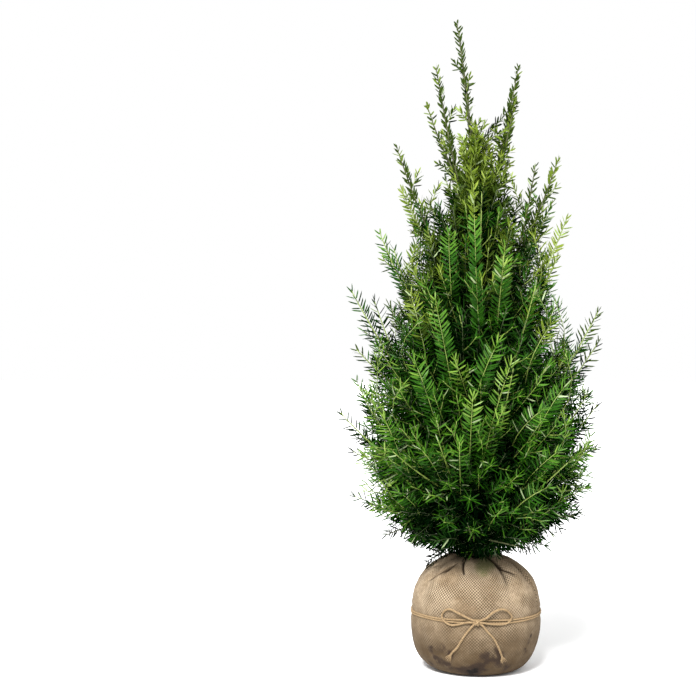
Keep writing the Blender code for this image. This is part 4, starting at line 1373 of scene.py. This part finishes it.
def needle_arrays():
    """Every needle's points, and its green.

    A needle leaves its shoot at an angle that narrows towards the tip, in four ranks, two to each side, or
    all round on leading shoots and in the tuft at each tip. Its blade is a flat strip with a point at each
    end that curves forward and droops. The middle line is root + heading * s + (forward - droop) * s
    squared, and the edges stand off it by the half width at each station.
    """
    start, bend, end, above, tone, needle, around, _ = shoots.table()
    draw = np.random.default_rng(7)
    length = np.linalg.norm(bend - start, axis=1) + np.linalg.norm(end - bend, axis=1)
    count = length / NEEDLE_PITCH * NEEDLE_LENGTH / needle / (1.0 + 0.5 * around)
    count = np.maximum(count.astype(int), FEWEST_NEEDLES)
    shoot = np.repeat(np.arange(len(count)), count)
    around = around[shoot]
    order = np.arange(count.sum()) - np.repeat(np.cumsum(count) - count, count)
    total = len(order)
    share = np.clip(0.03 + 0.97 * (order + 0.6) / count[shoot] + draw.normal(size=total) * 0.003, 0.0, 1.0)
    spot = bezier(start[shoot], bend[shoot], end[shoot], share)
    ahead = bezier_heading(start[shoot], bend[shoot], end[shoot], share)
    up = square_to(above[shoot], ahead)
    across = np.cross(ahead, up)

    short = ((1.0 - needle / NEEDLE_LENGTH) / (1.0 - TOP_NEEDLES))[shoot]
    splay = SPLAY - SPLAY_TIP * ease(share, 0.84, 1.0) - SPLAY_ROUND * around - SPLAY_SHORT * short
    splay += draw.normal(size=total) * 3
    side = np.where(order % 2 == 0, 1.0, -1.0)
    raised = RAISED + np.where(order // 2 % 2, RAISED_STEP, -RAISED_STEP) + draw.normal(size=total) * 5
    ranked_turn = side * (math.pi / 2 - np.radians(raised))
    round_turn = order * GOLDEN_ANGLE + draw.normal(size=total) * 0.2
    loose = draw.random(total) < around
    left = count[shoot] - order
    tuft = left <= TUFT_NEEDLES
    last = np.clip(1.0 - left / TUFT_NEEDLES, 0.0, 1.0)
    splay = np.where(tuft, TUFT_SPLAY - TUFT_CLOSING * last + draw.normal(size=total) * 7, splay)
    splay = np.radians(splay)[:, None]
    loose |= tuft
    turn = np.where(loose, round_turn, ranked_turn)[:, None]
    out = across * np.sin(turn) + up * np.cos(turn)
    heading = unit(ahead * np.cos(splay) + out * np.sin(splay))
    twist = np.cross(ahead, out) * np.where(order % 2, LOOSE_TWIST, -LOOSE_TWIST)[:, None]
    face = np.where(loose[:, None], ahead + twist, up) + draw.normal(size=(total, 3)) * 0.09
    face = square_to(face, heading)
    edge = np.cross(heading, face)

    size = needle[shoot] * draw.uniform(0.90, 1.07, total)
    size *= (1.0 - 0.46 * last**1.5) * (0.72 + 0.28 * smooth_step(share / 0.15))
    forward = ahead * (NEEDLE_FORWARD + draw.normal(size=total) * 0.04)[:, None] - face * NEEDLE_DROOP
    station = NEEDLE_STATIONS[None, :, None]
    way = heading[:, None] * station + forward[:, None] * station**2
    middle = spot[:, None] + way * size[:, None, None]
    half = NEEDLE_HALF_WIDTH * (0.75 + 0.25 * size / NEEDLE_LENGTH) * (1.0 + TOP_WIDER * short)
    reach = edge[:, None] * (NEEDLE_WIDTHS[None] * half[:, None])[..., None]
    points = np.stack([
        middle[:, 0],
        middle[:, 1] - reach[:, 1], middle[:, 1] + reach[:, 1],
        middle[:, 2] - reach[:, 2], middle[:, 2] + reach[:, 2],
        middle[:, 3],
    ], axis=1)
    # Painted light and shade: a needle's green follows its shoot's tone, lighter towards the end of lit
    # shoots and darker at the foot, in sunlit greens high in the crown, and pale among the lit needles as
    # partly painted highlights
    lit = np.clip(tone[shoot] / 0.25, 0.0, 1.0) * (1.0 - 0.6 * around)
    light = tone[shoot] + rising(share, *NEEDLE_TIP_LIGHT) * lit + draw.normal(size=total) * NEEDLE_CHANCE
    light -= rising(share, *NEEDLE_FOOT_SHADE)
    green = np.clip((light * SHADES).astype(int), 0, SHADES - 1)
    sunny = draw.random(len(count))[shoot] < np.interp(spot[:, 2], SUNNY_HEIGHTS, (0.0, 1.0))
    green = np.where(sunny, SUNNY[green], green)
    pale = (draw.random(total) < PALE_SHARE) & (light > PALE_LIGHT)
    green = np.where(pale, GREEN_NAMES.index("pale"), green)
    return points, green


NEEDLE_ENDS = np.array([[0, 2, 1], [3, 4, 5]])
NEEDLE_QUADS = np.array([[1, 2, 4, 3]])
NEEDLE_TRIANGLES = 4
NEEDLE_POINTS = 6


def needle_pieces():
    """The needles, joined by green into pieces small enough to keep whole."""
    points, green = needle_arrays()
    finishes = needle_finishes()
    for index, name in enumerate(GREEN_NAMES):
        mine = points[green == index]
        parts = math.ceil(len(mine) * NEEDLE_TRIANGLES / MOST_TRIANGLES)
        for part, some in enumerate(np.array_split(mine, parts) if parts else ()):
            each = np.arange(len(some))[:, None, None] * NEEDLE_POINTS
            faces = [(NEEDLE_QUADS + each).reshape(-1, 4), (NEEDLE_ENDS + each).reshape(-1, 3)]
            add_mesh(f"needles_{name}_{part + 1}", some, faces, finishes[name])
    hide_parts(*MASSES)


def wood_pieces(trunk_centres, trunk_radii):
    """The barked trunk and boughs, the brown twigs that go on from them, and this year's green stems."""
    bark = bark_finish("yew_bark", (0.085, 0.045, 0.026), (0.018, 0.011, 0.008))
    twig = bark_finish("twig_bark", (0.100, 0.056, 0.026), (0.034, 0.020, 0.010))
    olive, _ = principled("olive_stem", (0.055, 0.062, 0.018), 0.6)
    shaded, _ = principled("shaded_stem", (0.030, 0.048, 0.010), 0.6)
    green, _ = principled("green_stem", (0.170, 0.235, 0.040), 0.5)
    old = trunk_centres[:, 2] < BARK_TOP
    trunk = trunk_centres[old], trunk_radii[old]
    parts = [barked_limb(*trunk, TRUNK_STATIONS, TRUNK_COLUMNS, TRUNK_RELIEF, 61)]
    for index, bough in enumerate(BOUGHS):
        start, before, end, start_radius, end_radius = limb_line(bough, trunk_centres)
        root = between(start[2] - 0.002, trunk_centres[:, 2], trunk_centres)
        line = smooth_path([root * 0.4 + start * 0.6, start, before, end], 0.004)
        radii = np.linspace(start_radius * 1.08, end_radius, len(line))
        parts.append(barked_limb(line, radii, LIMB_STATIONS, LIMB_COLUMNS, LIMB_RELIEF, 70 + index))
    piece("barked_trunk_and_boughs", joined(parts), bark, "bark", "trunk", *("limb_" + b for b in BOUGHS))
    start, bend, end, _, tone, _, _, radius = shoots.table()
    for kind, finish in zip(wood, (twig, olive, shaded, green)):
        tubes = [tube_grid(path[None], radii[None], 7) for path, radii in wood[kind]]
        if kind in ("green", "shaded"):
            mine = (tone > STEM_TONE) == (kind == "green")
            share = np.linspace(0.0, 1.0, 6)
            paths = bezier(start[mine, None], bend[mine, None], end[mine, None], share[None])
            tubes.append(tube_grid(paths, radius[mine, None] * (1.0 - 0.45 * share)[None], 4))
        piece(kind + "_twigs", joined(tubes), finish, "bark" if kind == "brown" else "needles")


SOIL_RADIUS = 0.034
SOIL_RINGS = 14
SOIL_COLUMNS = 60


def soil(trunk_centres):
    """Dark crumbs of soil in the mouth of the wrap, round the foot of the trunk: a disc of small noise."""
    finish, _ = principled("soil_crumbs", (0.030, 0.020, 0.013), 1.0)
    wires = Wires(finish)
    crumbs = wires.fade(wires.noise(380.0, 4.0), 0.35, 0.7)
    wires.link(wires.mix(crumbs, (0.014, 0.009, 0.006), (0.065, 0.042, 0.026)))
    radius = np.linspace(0.0, SOIL_RADIUS, SOIL_RINGS)[:, None]
    turn = (np.arange(SOIL_COLUMNS) * 2 * math.pi / SOIL_COLUMNS)[None]
    disc = np.stack([radius * np.cos(turn), radius * np.sin(turn), np.zeros((SOIL_RINGS, SOIL_COLUMNS))], -1)
    disc[..., 2] = trunk_centres[0, 2] + 0.0022 + 0.0016 * value_noise(disc, 0.005, 15)
    points = np.concatenate([disc[0, :1], disc[1:].reshape(-1, 3)])
    faces = [ring_faces(SOIL_RINGS - 1, SOIL_COLUMNS)[:, INWARD_ORDER] + 1, fan_faces(0, 1, SOIL_COLUMNS)]
    made = add_mesh("soil_in_mouth", points, faces, finish)


# Lamps: the sky's, then the soft ones with name, place and power
SKY_POWER = 6.0
SKY_SPREAD = math.radians(18)
SKY_TURN = (math.radians(42), math.radians(-14), 0.0)
LAMPS = (("key_lamp", (-1.3, -1.9, 3.0), 45.0), ("right_lamp", (2.2, -1.2, 2.2), 20.0))
LAMP_SIZE = 1.6
LAMP_AIM = Vector((0.0, 0.0, 0.6))


def place_lamp(name, kind, power, place=(0.0, 0.0, 0.0)):
    """A new lamp of this kind and power."""
    light = bpy.data.lights.new(name, kind)
    light.energy = power
    lamp = bpy.data.objects.new(name, light)
    lamp.location = place
    bpy.context.scene.collection.objects.link(lamp)
    return lamp


def studio():
    """The camera, pale floor, bright even surroundings and soft lamps from above."""
    camera = bpy.data.cameras.new("camera")
    camera.lens = LENS
    camera.sensor_width = SENSOR_WIDTH
    camera.clip_end = 60.0
    viewer = bpy.data.objects.new("camera", camera)
    viewer.location = (0.0, -CAMERA_DISTANCE, CAMERA_HEIGHT)
    viewer.rotation_euler = (math.pi / 2, 0.0, CAMERA_TURN)
    bpy.context.scene.collection.objects.link(viewer)
    bpy.context.scene.camera = viewer

    world = bpy.data.worlds.new("white_room")
    world.use_nodes = True
    background = world.node_tree.nodes["Background"]
    background.inputs["Color"].default_value = (1.0, 1.0, 1.0, 1.0)
    background.inputs["Strength"].default_value = 1.0
    bpy.context.scene.world = world
    bpy.context.scene.view_settings.view_transform = "Standard"

    finish, _ = principled("floor_paint", (0.93, 0.93, 0.93), 0.9)
    bpy.ops.mesh.primitive_plane_add(size=30.0, location=(0.0, 8.0, -0.0005))
    floor = bpy.context.object
    floor.name = "studio_floor"
    floor.data.materials.append(finish)

    sky = place_lamp("sky_lamp", "SUN", SKY_POWER)
    sky.data.angle = SKY_SPREAD
    sky.rotation_euler = SKY_TURN
    for name, place, power in LAMPS:
        lamp = place_lamp(name, "AREA", power, place)
        lamp.data.size = LAMP_SIZE
        lamp.rotation_euler = (LAMP_AIM - Vector(place)).to_track_quat("-Z", "Y").to_euler()


def build():
    """Makes every piece in turn."""
    studio()
    cloth = burlap().data
    corners = [tuple(face.vertices) for face in cloth.polygons]
    cloth_tree = BVHTree.FromPolygons([vertex.co for vertex in cloth.vertices], corners)
    finish = twine_finish()
    twine_rings(cloth_tree, finish)
    bow(cloth_tree, finish)
    trunk_centres, trunk_radii = trunk_line()
    grow_crown(trunk_centres)
    needle_pieces()
    wood_pieces(trunk_centres, trunk_radii)
    soil(trunk_centres)


build()
